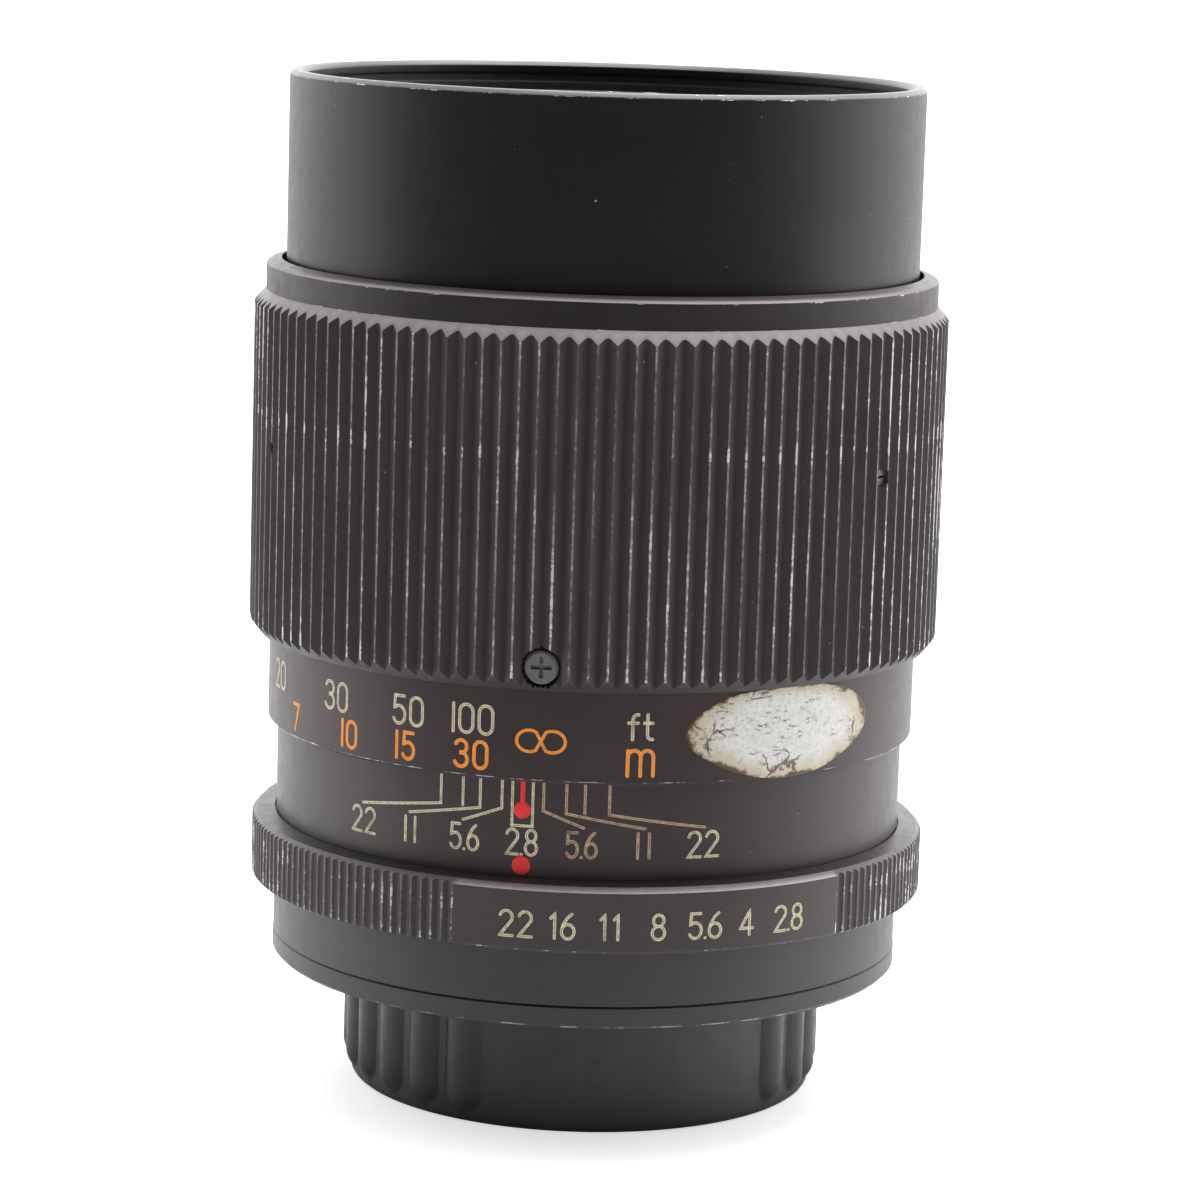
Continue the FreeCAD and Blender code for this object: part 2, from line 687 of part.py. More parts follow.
def build_optics():
    save("inner_barrel", inner_barrel())
    save("front_barrel", front_barrel())
    save("hood_felt", hood_felt())
    save("front_retaining_ring", front_retaining_ring())
    save("element_spacer", element_spacer())
    save("lens_cell", lens_cell())
    save("third_element_ring", third_element_ring())
    save("front_element", element(24.6, (23.9, 86.5, 75.0), (23.4, 83.0, 900.0)))
    save("second_element", element(22.0, (21.2, 77.2, 45.0), (20.0, 74.2, -80.0)))
    save("third_element", element(18.0, (16.6, 71.0, 120.0), (15.6, 66.0, -30.0)))
    save("rear_cell", rear_cell())
    save("rear_element", element(14.5, (12.3, 49.0, 60.0), (13.6, 46.6, 90.0)))
    save("rear_retaining_ring", rear_retaining_ring())


def build_focus():
    save("focus_grip", focus_grip())
    save("distance_sleeve", distance_sleeve())
    save("helicoid_ring", helicoid_ring())
    save("retainer_ring", retainer_ring())
    save("grip_screws", grip_screws())
    save("set_screws", set_screws())
    save("inspection_sticker", inspection_sticker())


def main():
    os.makedirs("parts", exist_ok=True)
    build_fixed()
    build_aperture()
    build_optics()
    build_focus()
    save("hood", hood())
    save("rear_cap", rear_cap())


main()
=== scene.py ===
"""Looks of a 135 mm class prime lens standing front up on its rear cap.

Sizes inside the classes are in millimetres. Azimuths called "rel" are in degrees, measured from -Y, where the
index line is, towards +X. Meshes are written in metres.
"""

import logging
import math
from dataclasses import dataclass
from enum import Enum
from typing import Dict, List, Optional, Sequence, Tuple

import bmesh
import bpy
import numpy as np
from mathutils import Matrix, Vector


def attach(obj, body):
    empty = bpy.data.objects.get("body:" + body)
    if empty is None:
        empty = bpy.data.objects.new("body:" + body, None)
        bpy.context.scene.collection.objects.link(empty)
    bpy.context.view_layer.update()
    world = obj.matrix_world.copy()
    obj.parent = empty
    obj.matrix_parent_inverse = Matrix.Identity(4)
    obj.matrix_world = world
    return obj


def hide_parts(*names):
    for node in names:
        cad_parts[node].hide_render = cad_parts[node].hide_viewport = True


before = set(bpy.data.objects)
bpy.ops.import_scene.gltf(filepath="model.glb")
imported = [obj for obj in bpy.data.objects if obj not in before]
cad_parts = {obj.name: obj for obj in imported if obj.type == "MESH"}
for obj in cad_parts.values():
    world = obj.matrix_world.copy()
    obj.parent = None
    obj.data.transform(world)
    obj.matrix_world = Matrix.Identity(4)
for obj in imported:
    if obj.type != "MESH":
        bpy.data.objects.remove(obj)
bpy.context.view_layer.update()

MM = 0.001
METRE = 1000.0
FOOT = 304.8
TURN = 360.0
THIRDS = (0.0, 120.0, 240.0)
FOCAL_LENGTH = 135.0
LEAD = 18.0
INFINITY_REL = 3.4
LOG = logging.getLogger("lens")

Colour = Tuple[float, float, float]
Outline = Sequence[Tuple[float, float]]
Rows = List[Tuple[np.ndarray, np.ndarray]]


class Body(Enum):
    """CAD bodies that the new pieces ride on."""

    FIXED = "fixed"
    APERTURE = "aperture_ring"
    OPTICS = "optical_unit"
    FOCUS = "focus_ring"
    HOOD = "hood"
    CAP = "rear_cap"


# ------------------------------------------------------------------ meshes
def on_axis(rel: np.ndarray, radius: np.ndarray, height: np.ndarray) -> np.ndarray:
    """Points round the optical axis: x = r sin(rel), y = -r cos(rel), z = height.

    Args:
        rel: azimuths in degrees.
        radius: radii in millimetres.
        height: heights in millimetres.

    Returns:
        Array of points in metres, with the arguments' shape and a last axis of three.
    """
    rel, radius, height = np.broadcast_arrays(np.radians(rel), radius, height)
    return np.stack([radius * np.sin(rel), -radius * np.cos(rel), height], axis=-1) * MM


def smooth_noise(x: np.ndarray, seed: int, waves: int = 9) -> np.ndarray:
    """Repeatable wavy number near -1 to 1: a sum of sines of growing pitch and seeded phase.

    Args:
        x: where to read it, in radians round a closed line.
        seed: picks the phases.
        waves: how many sines are added.

    Returns:
        Array shaped like x.
    """
    phases = np.random.default_rng(seed).uniform(0.0, 2 * np.pi, waves)
    total = np.zeros_like(np.asarray(x, float))
    for k in range(waves):
        total = total + np.sin(x * (2 * k + 3) + phases[k]) / (k + 1.5)
    return total / 1.6


class Patchwork:
    """Collects grids of points and makes them into one mesh object."""

    def __init__(self) -> None:
        """Starts with no grids."""
        self.points: List[np.ndarray] = []
        self.quads: List[np.ndarray] = []
        self.uvs: List[np.ndarray] = []
        self.count = 0

    def add(self, grid: np.ndarray, uv: Optional[np.ndarray] = None,
            wrap_columns: bool = False, wrap_rows: bool = False) -> None:
        """Adds a grid of points, joined to its neighbours by quads.

        Args:
            grid: points in metres, rows by columns by three; columns run anticlockwise, rows climb outside.
            uv: rows by columns by two.
            wrap_columns: joins the last column to the first.
            wrap_rows: joins the last row to the first.
        """
        rows, columns = grid.shape[:2]
        index = self.count + np.arange(rows * columns).reshape(rows, columns)
        if wrap_columns:
            index = np.concatenate([index, index[:, :1]], axis=1)
        if wrap_rows:
            index = np.concatenate([index, index[:1]], axis=0)
        quads = np.stack([index[:-1, :-1], index[:-1, 1:], index[1:, 1:], index[1:, :-1]], axis=-1)
        self.points.append(grid.reshape(-1, 3))
        self.quads.append(quads.reshape(-1, 4))
        self.uvs.append(np.zeros((rows * columns, 2)) if uv is None else uv.reshape(-1, 2))
        self.count += rows * columns

    def piece(self, name: str, sharp: float = 30.0) -> bpy.types.Object:
        """Makes the mesh object, merges its poles and shades it smooth between sharp edges.

        Args:
            name: name of the object.
            sharp: edges steeper than this many degrees stay sharp.

        Returns:
            The new object, linked to the scene.
        """
        points = np.concatenate(self.points).astype(np.float32)
        quads = np.concatenate(self.quads).astype(np.int32)
        uvs = np.concatenate(self.uvs).astype(np.float32)
        mesh = bpy.data.meshes.new(name)
        mesh.vertices.add(len(points))
        mesh.vertices.foreach_set("co", points.ravel())
        mesh.loops.add(quads.size)
        mesh.loops.foreach_set("vertex_index", quads.ravel())
        mesh.polygons.add(len(quads))
        mesh.polygons.foreach_set("loop_start", np.arange(0, quads.size, 4, dtype=np.int32))
        mesh.update(calc_edges=True)
        layer = mesh.uv_layers.new(name="UVMap")
        layer.data.foreach_set("uv", uvs[quads.ravel()].ravel())
        mesh.validate()
        merge_poles(mesh)
        mesh.shade_smooth()
        mesh.set_sharp_from_angle(angle=math.radians(sharp))
        made = bpy.data.objects.new(name, mesh)
        bpy.context.scene.collection.objects.link(made)
        return made


def merge_poles(mesh: bpy.types.Mesh) -> None:
    """Joins points that lie on the same place, such as a row of them on the axis."""
    work = bmesh.new()
    work.from_mesh(mesh)
    bmesh.ops.remove_doubles(work, verts=work.verts, dist=1e-7)
    work.to_mesh(mesh)
    work.free()
    mesh.update()


def rounded(outline: Outline, radii: Sequence[float], steps: int = 4) -> np.ndarray:
    """Rounds the corners of a closed outline with quadratic arcs between points set back by each radius.

    Args:
        outline: (radius, height) corners.
        radii: set-back at each corner, nought for a sharp one.
        steps: points per rounded corner, less one.

    Returns:
        Array of (radius, height) points.
    """
    corners = np.array(outline, float)
    before, after = np.roll(corners, 1, 0), np.roll(corners, -1, 0)
    made = []
    for here, last, following, radius in zip(corners, before, after, radii):
        if radius <= 0:
            made.append(here[None])
            continue
        a = here + (last - here) / np.linalg.norm(last - here) * radius
        b = here + (following - here) / np.linalg.norm(following - here) * radius
        t = np.linspace(0, 1, steps + 1)[:, None]
        made.append((1 - t) ** 2 * a + 2 * t * (1 - t) * here + t ** 2 * b)
    return np.concatenate(made)


def turned(name: str, outline: np.ndarray, segments: int = 288,
           faded: Optional[np.ndarray] = None) -> bpy.types.Object:
    """Surface of revolution: a closed outline carried round the axis.

    Args:
        name: name of the piece.
        outline: (radius, height) points, up the outside and down the inside.
        segments: steps round the axis.
        faded: share of fading at each point, kept in the first UV coordinate.

    Returns:
        The new object.
    """
    rel = np.arange(segments) * TURN / segments
    share = np.zeros(len(outline)) if faded is None else faded.astype(float)
    uv = np.stack(np.broadcast_arrays(share[:, None], np.zeros((1, segments))), axis=-1)
    work = Patchwork()
    work.add(on_axis(rel[None], outline[:, :1], outline[:, 1:]), uv, wrap_columns=True, wrap_rows=True)
    return work.piece(name)


# ------------------------------------------------------------------ stroke figures
def arc(cx: float, cy: float, rx: float, ry: float, start: float, end: float, steps: int = 14) -> np.ndarray:
    """Elliptic arc: centre plus (rx cos a, ry sin a) for a from start to end degrees."""
    a = np.radians(np.linspace(start, end, steps))
    return np.stack([cx + rx * np.cos(a), cy + ry * np.sin(a)], axis=-1)


def path(*parts: object) -> np.ndarray:
    """Joins points and arcs into one centre line."""
    return np.concatenate([np.asarray(p, float).reshape(-1, 2) for p in parts])


def eight_on_side() -> np.ndarray:
    """Infinity sign: an arc of each round loop, joined by two straight strokes that cross in the middle."""
    right = arc(0.74, 0.5, 0.26, 0.5, -122, 122, 22)
    left = arc(0.26, 0.5, 0.26, 0.5, -58, -302, 22)
    return path(right, left, right[:1])


FIGURES: Dict[str, Tuple[float, List[np.ndarray]]] = {
    "0": (0.50, [path((0, .5), (0, .73), arc(.25, .73, .25, .27, 172, 8), (.5, .73), (.5, .27),
                      arc(.25, .27, .25, .27, -8, -172), (0, .27), (0, .5))]),
    "1": (0.02, [path((.01, 0), (.01, 1))]),
    "i": (0.17, [path((.16, 0), (.16, 1), (0, .80))]),
    "2": (0.50, [path(arc(.25, .74, .25, .26, 165, -28), (0, 0), (.52, 0))]),
    "3": (0.50, [path(arc(.24, .76, .23, .24, 160, -88), arc(.24, .27, .26, .27, 88, -160))]),
    "4": (0.54, [path((.40, 0), (.40, 1), (0, .27), (.56, .27))]),
    "5": (0.50, [path((.46, 1), (.07, 1), (.04, .56), arc(.24, .32, .26, .32, 128, -152))]),
    "6": (0.50, [path((.40, 1), (.22, .84), (.06, .56), arc(.25, .29, .25, .29, 165, 525, 26))]),
    "7": (0.48, [path((0, 1), (.48, 1), (.16, 0))]),
    "8": (0.50, [path(arc(.25, .77, .21, .23, -90, 270, 24)), path(arc(.25, .27, .25, .27, 90, 450, 26))]),
    ".": (0.02, [path((.01, 0), (.01, .015))]),
    "f": (0.42, [path((.17, 0), (.17, .78), arc(.36, .78, .19, .22, 176, 80, 8)),
                 path((0, .66), (.38, .66))]),
    "t": (0.36, [path((.13, 1), (.13, .2), arc(.31, .2, .18, .2, 184, 282, 8)),
                 path((0, .66), (.34, .66))]),
    "m": (1.00, [path((0, 0), (0, 1)), path((0, .74), arc(.25, .74, .25, .26, 170, 6, 9), (.5, .7), (.5, 0)),
                 path((.5, .74), arc(.75, .74, .25, .26, 170, 6, 9), (1, .7), (1, 0))]),
    "~": (1.00, [eight_on_side()]),
}


def even_steps(line: np.ndarray, longest: float) -> np.ndarray:
    """Adds points so that no step of a line is longer than a limit, keeping its corners."""
    made = [line[:1]]
    for a, b in zip(line[:-1], line[1:]):
        n = max(1, int(math.ceil(np.linalg.norm(b - a) / longest)))
        t = np.linspace(0, 1, n + 1)[1:, None]
        made.append(a + (b - a) * t)
    return np.concatenate(made)


def ribbon(line: np.ndarray, half: float) -> Tuple[np.ndarray, np.ndarray]:
    """Flat stroke round a centre line: mitred sides and round ends, five points across.

    Args:
        line: centre line in millimetres.
        half: half of the stroke's width.

    Returns:
        Plane points and their (along, across) coordinates, rows by five by two.
    """
    line = even_steps(line, 0.35)
    keep = np.r_[True, np.linalg.norm(np.diff(line, axis=0), axis=1) > 1e-4]
    line = line[keep]
    step = np.diff(line, axis=0)
    step /= np.linalg.norm(step, axis=1)[:, None]
    closed = np.linalg.norm(line[0] - line[-1]) < 1e-3
    ahead, behind = np.concatenate([step, step[-1:]]), np.concatenate([step[:1], step])
    if closed:
        ahead[-1], behind[0] = step[0], step[-1]
    mean = ahead + behind
    mean /= np.maximum(np.linalg.norm(mean, axis=1), 1e-6)[:, None]
    side = np.stack([-mean[:, 1], mean[:, 0]], axis=-1)
    mitre = np.clip(1.0 / np.maximum(np.abs(np.sum(mean * ahead, axis=1)), 0.35), 1.0, 1.6)
    width = half * mitre
    if not closed:
        turn = np.radians([20.0, 42.0, 64.0, 86.0])[:, None]
        first = line[0] - step[0] * np.sin(turn[::-1]) * half
        last = line[-1] + step[-1] * np.sin(turn) * half
        line = np.concatenate([first, line, last])
        side = np.concatenate([np.repeat(side[:1], 4, 0), side, np.repeat(side[-1:], 4, 0)])
        width = np.concatenate([half * np.cos(turn[::-1, 0]), width, half * np.cos(turn[:, 0])])
    across = np.linspace(-1, 1, 5)
    points = line[:, None] - side[:, None] * (width[:, None] * across[None])[..., None]
    run = np.r_[0, np.cumsum(np.linalg.norm(np.diff(line, axis=0), axis=1))]
    uv = np.stack(np.broadcast_arrays(run[:, None], across[None] * 0.5 + 0.5), axis=-1)
    return points, uv


@dataclass(frozen=True)
class Engraving:
    """Figures cut into a round surface and filled with paint."""

    radius: float
    stroke: float = 0.32
    lift: float = 0.012

    def strokes(self, work: Patchwork, lines: Sequence[np.ndarray], rel: float = 0.0,
                height: float = 0.0) -> None:
        """Wraps strokes round the surface: rel grows by x over the radius, the height by y.

        Args:
            work: collects the mesh.
            lines: centre lines in millimetres.
            rel: azimuth of x = 0.
            height: height of y = 0.
        """
        for k, line in enumerate(lines):
            points, uv = ribbon(line, self.stroke / 2)
            crown = 0.004 * (1 - (2 * uv[..., 1] - 1) ** 2)
            radius = self.radius + self.lift + 0.0015 * (k % 5) - crown
            around = rel + np.degrees(points[..., 0] / self.radius)
            work.add(on_axis(around, radius, height + points[..., 1]), uv)

    def word(self, work: Patchwork, text: str, rel: float, height: float, tall: float,
             gap: float = 0.32, stretch: float = 1.0) -> None:
        """Sets a short run of figures, centred on an azimuth and a height.

        Args:
            work: collects the mesh.
            text: the figures; "i" is a one with a flag and "~" the infinity sign.
            rel: azimuth of the middle.
            height: height of the middle.
            tall: height of the figures, strokes included.
            gap: clear space between strokes.
            stretch: widens the figures.
        """
        size = tall - self.stroke
        widths = [FIGURES[c][0] * size * stretch + self.stroke for c in text]
        gaps = [gap * (0.25 if "." in text[k:k + 2] else 1.0) for k in range(len(text) - 1)]
        x = -(sum(widths) + sum(gaps)) / 2 + self.stroke / 2
        for k, c in enumerate(text):
            scale = np.array([size * stretch, size])
            lines = [line * scale + np.array([x, -size / 2]) for line in FIGURES[c][1]]
            self.strokes(work, lines, rel, height)
            x += widths[k] + (gaps[k] if k < len(gaps) else 0.0)


# ------------------------------------------------------------------ node helpers
class Tree:
    """Short-hand for laying out one node tree."""

    def __init__(self, tree: bpy.types.NodeTree) -> None:
        """Keeps the tree that nodes are added to."""
        self.tree = tree

    def feed(self, socket: bpy.types.NodeSocket, value: object) -> None:
        """Links a socket to another, or sets its own value."""
        if isinstance(value, bpy.types.NodeSocket):
            self.tree.links.new(value, socket)
        elif isinstance(value, tuple) and socket.type == "RGBA":
            socket.default_value = (*value, 1.0)
        elif value is not None:
            socket.default_value = value

    def node(self, kind: str, inputs: Optional[Dict[object, object]] = None,
             **settings: object) -> bpy.types.Node:
        """Adds a node, with settings as attributes and inputs by name or number."""
        made = self.tree.nodes.new(kind)
        for key, value in settings.items():
            setattr(made, key, value)
        for key, value in (inputs or {}).items():
            self.feed(made.inputs[key], value)
        return made

    def sum(self, operation: str, *values: object, clamp: bool = False) -> bpy.types.NodeSocket:
        """Math node on one to three values."""
        made = self.node("ShaderNodeMath", dict(enumerate(values)), operation=operation, use_clamp=clamp)
        return made.outputs[0]

    def plus(self, first: object, second: object) -> bpy.types.NodeSocket:
        """Adds two values."""
        return self.sum("ADD", first, second)

    def minus(self, first: object, second: object, clamp: bool = False) -> bpy.types.NodeSocket:
        """Takes the second value from the first."""
        return self.sum("SUBTRACT", first, second, clamp=clamp)

    def times(self, first: object, second: object) -> bpy.types.NodeSocket:
        """Multiplies two values."""
        return self.sum("MULTIPLY", first, second)

    def spread(self, value: object, low: object, high: object, to_low: object = 0.0, to_high: object = 1.0,
               kind: str = "SMOOTHSTEP") -> bpy.types.NodeSocket:
        """Map Range node, held inside its ends."""
        inputs = {"Value": value, "From Min": low, "From Max": high, "To Min": to_low, "To Max": to_high}
        return self.node("ShaderNodeMapRange", inputs, interpolation_type=kind).outputs[0]

    def blend(self, factor: object, first: object, second: object) -> bpy.types.NodeSocket:
        """Colour mix of two tones."""
        return self.node("ShaderNodeMix", {0: factor, 6: first, 7: second}, data_type="RGBA").outputs[2]

    def noise(self, vector: object, scale: object, detail: float = 4.0,
              rough: float = 0.55) -> bpy.types.NodeSocket:
        """Noise value near 0.5 at each point."""
        inputs = {"Vector": vector, "Scale": scale, "Detail": detail, "Roughness": rough}
        return self.node("ShaderNodeTexNoise", inputs).outputs[0]

    def object_point(self) -> bpy.types.NodeSocket:
        """The point in the piece's own coordinates."""
        return self.node("ShaderNodeTexCoord").outputs["Object"]

    def along(self, vector: object, direction: Tuple[float, float, float]) -> bpy.types.NodeSocket:
        """How far a vector points along a direction."""
        inputs = {0: vector, 1: direction}
        return self.node("ShaderNodeVectorMath", inputs, operation="DOT_PRODUCT").outputs["Value"]

    def relief(self, shader: bpy.types.Node, height: object, strength: float, depth: float) -> None:
        """Gives a shader bumps of a depth in metres from a height."""
        bump = self.node("ShaderNodeBump", {"Strength": strength, "Distance": depth, "Height": height})
        self.feed(shader.inputs["Normal"], bump.outputs[0])

    def cylinder(self, vector: object) -> Sequence[bpy.types.NodeSocket]:
        """Radius, height and azimuth in turns of a point round the axis."""
        axes = self.node("ShaderNodeSeparateXYZ", {0: vector})
        x, y, z = axes.outputs
        radius = self.sum("SQRT", self.plus(self.times(x, x), self.times(y, y)))
        around = self.sum("DIVIDE", self.sum("ARCTAN2", y, x), 2 * math.pi)
        return radius, z, around

    def group(self, group: bpy.types.NodeTree, **inputs: object) -> bpy.types.Node:
        """Places a shared effect, with its values by input name."""
        made = self.node("ShaderNodeGroup", node_tree=group)
        for key, value in inputs.items():
            self.feed(made.inputs[key], value)
        return made


class Effect(Enum):
    """Shared effects, each built once as a node group."""

    RIM_WEAR = "rim_wear"
    CREST_WEAR = "crest_wear"
    LATHE_LINES = "lathe_lines"
    DUST = "dust_specks"
    HANDLING = "handling_tone"


GroupParts = Tuple[bpy.types.NodeTree, Tree, bpy.types.Node, bpy.types.Node]


def new_group(name: str, inputs: Dict[str, float], outputs: Sequence[str]) -> GroupParts:
    """Starts a shader node group whose first input is the point that it is read at.

    Args:
        name: name of the group.
        inputs: float inputs with their starting values.
        outputs: float outputs.

    Returns:
        The group, its tree helper, its input node and its output node.
    """
    group = bpy.data.node_groups.new(name, "ShaderNodeTree")
    group.interface.new_socket(name="Point", in_out="INPUT", socket_type="NodeSocketVector")
    for key, value in inputs.items():
        socket = group.interface.new_socket(name=key, in_out="INPUT", socket_type="NodeSocketFloat")
        socket.default_value = value
    for key in outputs:
        group.interface.new_socket(name=key, in_out="OUTPUT", socket_type="NodeSocketFloat")
    tree = Tree(group)
    return group, tree, tree.node("NodeGroupInput"), tree.node("NodeGroupOutput")


def rim_wear_group() -> bpy.types.NodeTree:
    """Wear along a turned edge: nearness to the circle (Radius, Height), broken up by noise."""
    inputs = {"Radius": 0.03, "Height": 0.09, "Reach": 0.0006, "Cover": 0.5, "Patch": 260.0}
    group, t, given, out = new_group(Effect.RIM_WEAR.value, inputs, ["Mask"])
    point = given.outputs["Point"]
    radius, height, _ = t.cylinder(point)
    dr = t.minus(radius, given.outputs["Radius"])
    dz = t.minus(height, given.outputs["Height"])
    apart = t.sum("SQRT", t.plus(t.times(dr, dr), t.times(dz, dz)))
    near = t.minus(1.0, t.sum("DIVIDE", apart, given.outputs["Reach"]), clamp=True)
    coarse = t.noise(point, given.outputs["Patch"], 3.0, 0.6)
    fine = t.noise(point, t.times(given.outputs["Patch"], 7.0), 3.0, 0.7)
    broken = t.plus(t.times(coarse, 1.5), t.times(fine, 0.7))
    level = t.plus(near, t.minus(broken, 1.1))
    gate = t.minus(1.0, given.outputs["Cover"])
    mask = t.spread(level, gate, t.plus(gate, 0.12))
    t.feed(out.inputs["Mask"], t.times(mask, t.spread(near, 0.0, 0.12)))
    return group


def crest_wear_group() -> bpy.types.NodeTree:
    """Wear on raised crests: how far the piece's raised share is above a level, broken up along the height.

    Cover is raised round the height Knock and just above the height Foot.
    """
    inputs = {"Raised": 0.0, "From": 0.8, "Cover": 0.4, "Patch": 220.0, "Along": 0.35, "Knock": 0.0,
              "Foot": 0.0}
    group, t, given, out = new_group(Effect.CREST_WEAR.value, inputs, ["Mask", "Line"])
    near = t.spread(given.outputs["Raised"], given.outputs["From"], 1.0, kind="LINEAR")
    start = t.minus(given.outputs["From"], 0.1)
    wide = t.spread(given.outputs["Raised"], start, t.plus(given.outputs["From"], 0.01), kind="LINEAR")
    axes = t.node("ShaderNodeSeparateXYZ", {0: given.outputs["Point"]})
    off = t.sum("ABSOLUTE", t.minus(axes.outputs[2], given.outputs["Knock"]))
    foot = t.minus(axes.outputs[2], given.outputs["Foot"])
    struck = t.plus(t.spread(off, 0.0013, 0.0002, 0.0, 0.20), t.spread(foot, 0.0030, 0.0004, 0.0, 0.18))
    low = t.times(axes.outputs[2], given.outputs["Along"])
    point = t.node("ShaderNodeCombineXYZ", {0: axes.outputs[0], 1: axes.outputs[1], 2: low}).outputs[0]
    coarse = t.noise(point, given.outputs["Patch"], 2.0, 0.6)
    fine = t.noise(given.outputs["Point"], t.times(given.outputs["Patch"], 9.0), 4.0, 0.75)
    broken = t.plus(t.times(coarse, 1.3), t.times(fine, 1.1))
    level = t.plus(t.times(wide, 0.6), t.minus(broken, 1.2))
    level = t.plus(level, struck)
    gate = t.minus(1.0, given.outputs["Cover"])
    mask = t.spread(level, gate, t.plus(gate, 0.1))
    t.feed(out.inputs["Mask"], t.times(mask, t.spread(wide, 0.0, 0.5)))
    thin = t.spread(broken, 0.95, 1.4, 0.08, 1.0)
    t.feed(out.inputs["Line"], t.times(t.spread(near, 0.1, 0.9), thin))
    return group


def lathe_lines_group() -> bpy.types.NodeTree:
    """Fine turning marks: noise read at (radius, height, a little azimuth), so that it runs in rings."""
    group, t, given, out = new_group(Effect.LATHE_LINES.value, {"Pitch": 9000.0}, ["Height", "Tone"])
    radius, height, around = t.cylinder(given.outputs["Point"])
    axes = t.node("ShaderNodeCombineXYZ", {0: radius, 1: height, 2: t.times(around, 0.0002)})
    fine = t.noise(axes.outputs[0], given.outputs["Pitch"], 3.0, 0.7)
    grit = t.noise(given.outputs["Point"], 9000.0, 2.0, 0.6)
    t.feed(out.inputs["Height"], t.plus(fine, t.times(grit, 0.8)))
    t.feed(out.inputs["Tone"], t.spread(fine, 0.35, 0.65))
    return group


def dust_group() -> bpy.types.NodeTree:
    """Small light specks: cells whose centre is closer than a size that most cells don't reach."""
    group, t, given, out = new_group(Effect.DUST.value, {"Cells": 600.0, "Share": 0.1}, ["Mask"])
    where = {"Vector": given.outputs["Point"], "Scale": given.outputs["Cells"]}
    cells = t.node("ShaderNodeTexVoronoi", where)
    pick = t.node("ShaderNodeSeparateColor", {0: cells.outputs["Color"]})
    chosen = t.sum("LESS_THAN", pick.outputs[0], given.outputs["Share"])
    size = t.times(pick.outputs[1], 0.11)
    dot = t.minus(1.0, t.spread(cells.outputs["Distance"], t.times(size, 0.5), size))
    t.feed(out.inputs["Mask"], t.times(chosen, dot))
    return group


def handling_group() -> bpy.types.NodeTree:
    """Slow changes of tone and gloss from handling: two sizes of noise."""
    group, t, given, out = new_group(Effect.HANDLING.value, {"Patch": 60.0}, ["Tone", "Gloss"])
    point = given.outputs["Point"]
    slow = t.noise(point, given.outputs["Patch"], 3.0, 0.6)
    quick = t.noise(point, t.times(given.outputs["Patch"], 11.0), 4.0, 0.7)
    mixed = t.plus(t.times(slow, 0.7), t.times(quick, 0.3))
    t.feed(out.inputs["Tone"], t.spread(mixed, 0.34, 0.66))
    t.feed(out.inputs["Gloss"], t.spread(quick, 0.3, 0.7))
    return group


BUILDERS = {
    Effect.RIM_WEAR: rim_wear_group,
    Effect.CREST_WEAR: crest_wear_group,
    Effect.LATHE_LINES: lathe_lines_group,
    Effect.DUST: dust_group,
    Effect.HANDLING: handling_group,
}


def effect(kind: Effect) -> bpy.types.NodeTree:
    """The node group of an effect, built on first use."""
    return bpy.data.node_groups.get(kind.value) or BUILDERS[kind]()


# ------------------------------------------------------------------ finishes
@dataclass(frozen=True)
class Rim:
    """A worn edge circle."""

    radius: float
    height: float
    reach: float = 0.5
    cover: float = 0.5
    patch: float = 260.0


@dataclass(frozen=True)
class Seam:
    """A dark line of old grease where two rings meet."""

    height: float
    half: float = 0.11
    colour: Colour = (0.004, 0.004, 0.004)


@dataclass(frozen=True)
class Fade:
    """Black that handling has faded, where the piece's first UV coordinate says."""

    colour: Colour
    amount: float = 0.9


@dataclass(frozen=True)
class Crest:
    """Worn crests of flutes or knurls, from a share of their height upwards, and darker valleys: partly dirt,
    partly painted shade.

    The crests are knocked most along one height and at their lower ends.
    """

    level: float
    cover: float
    patch: float = 220.0
    polish: float = 0.6
    # Darkening in the valleys, from the raised share: partly dirt, partly painted shade.
    dirt_and_shade: float = 0.5
    knock: float = 0.0
    foot: float = 0.0


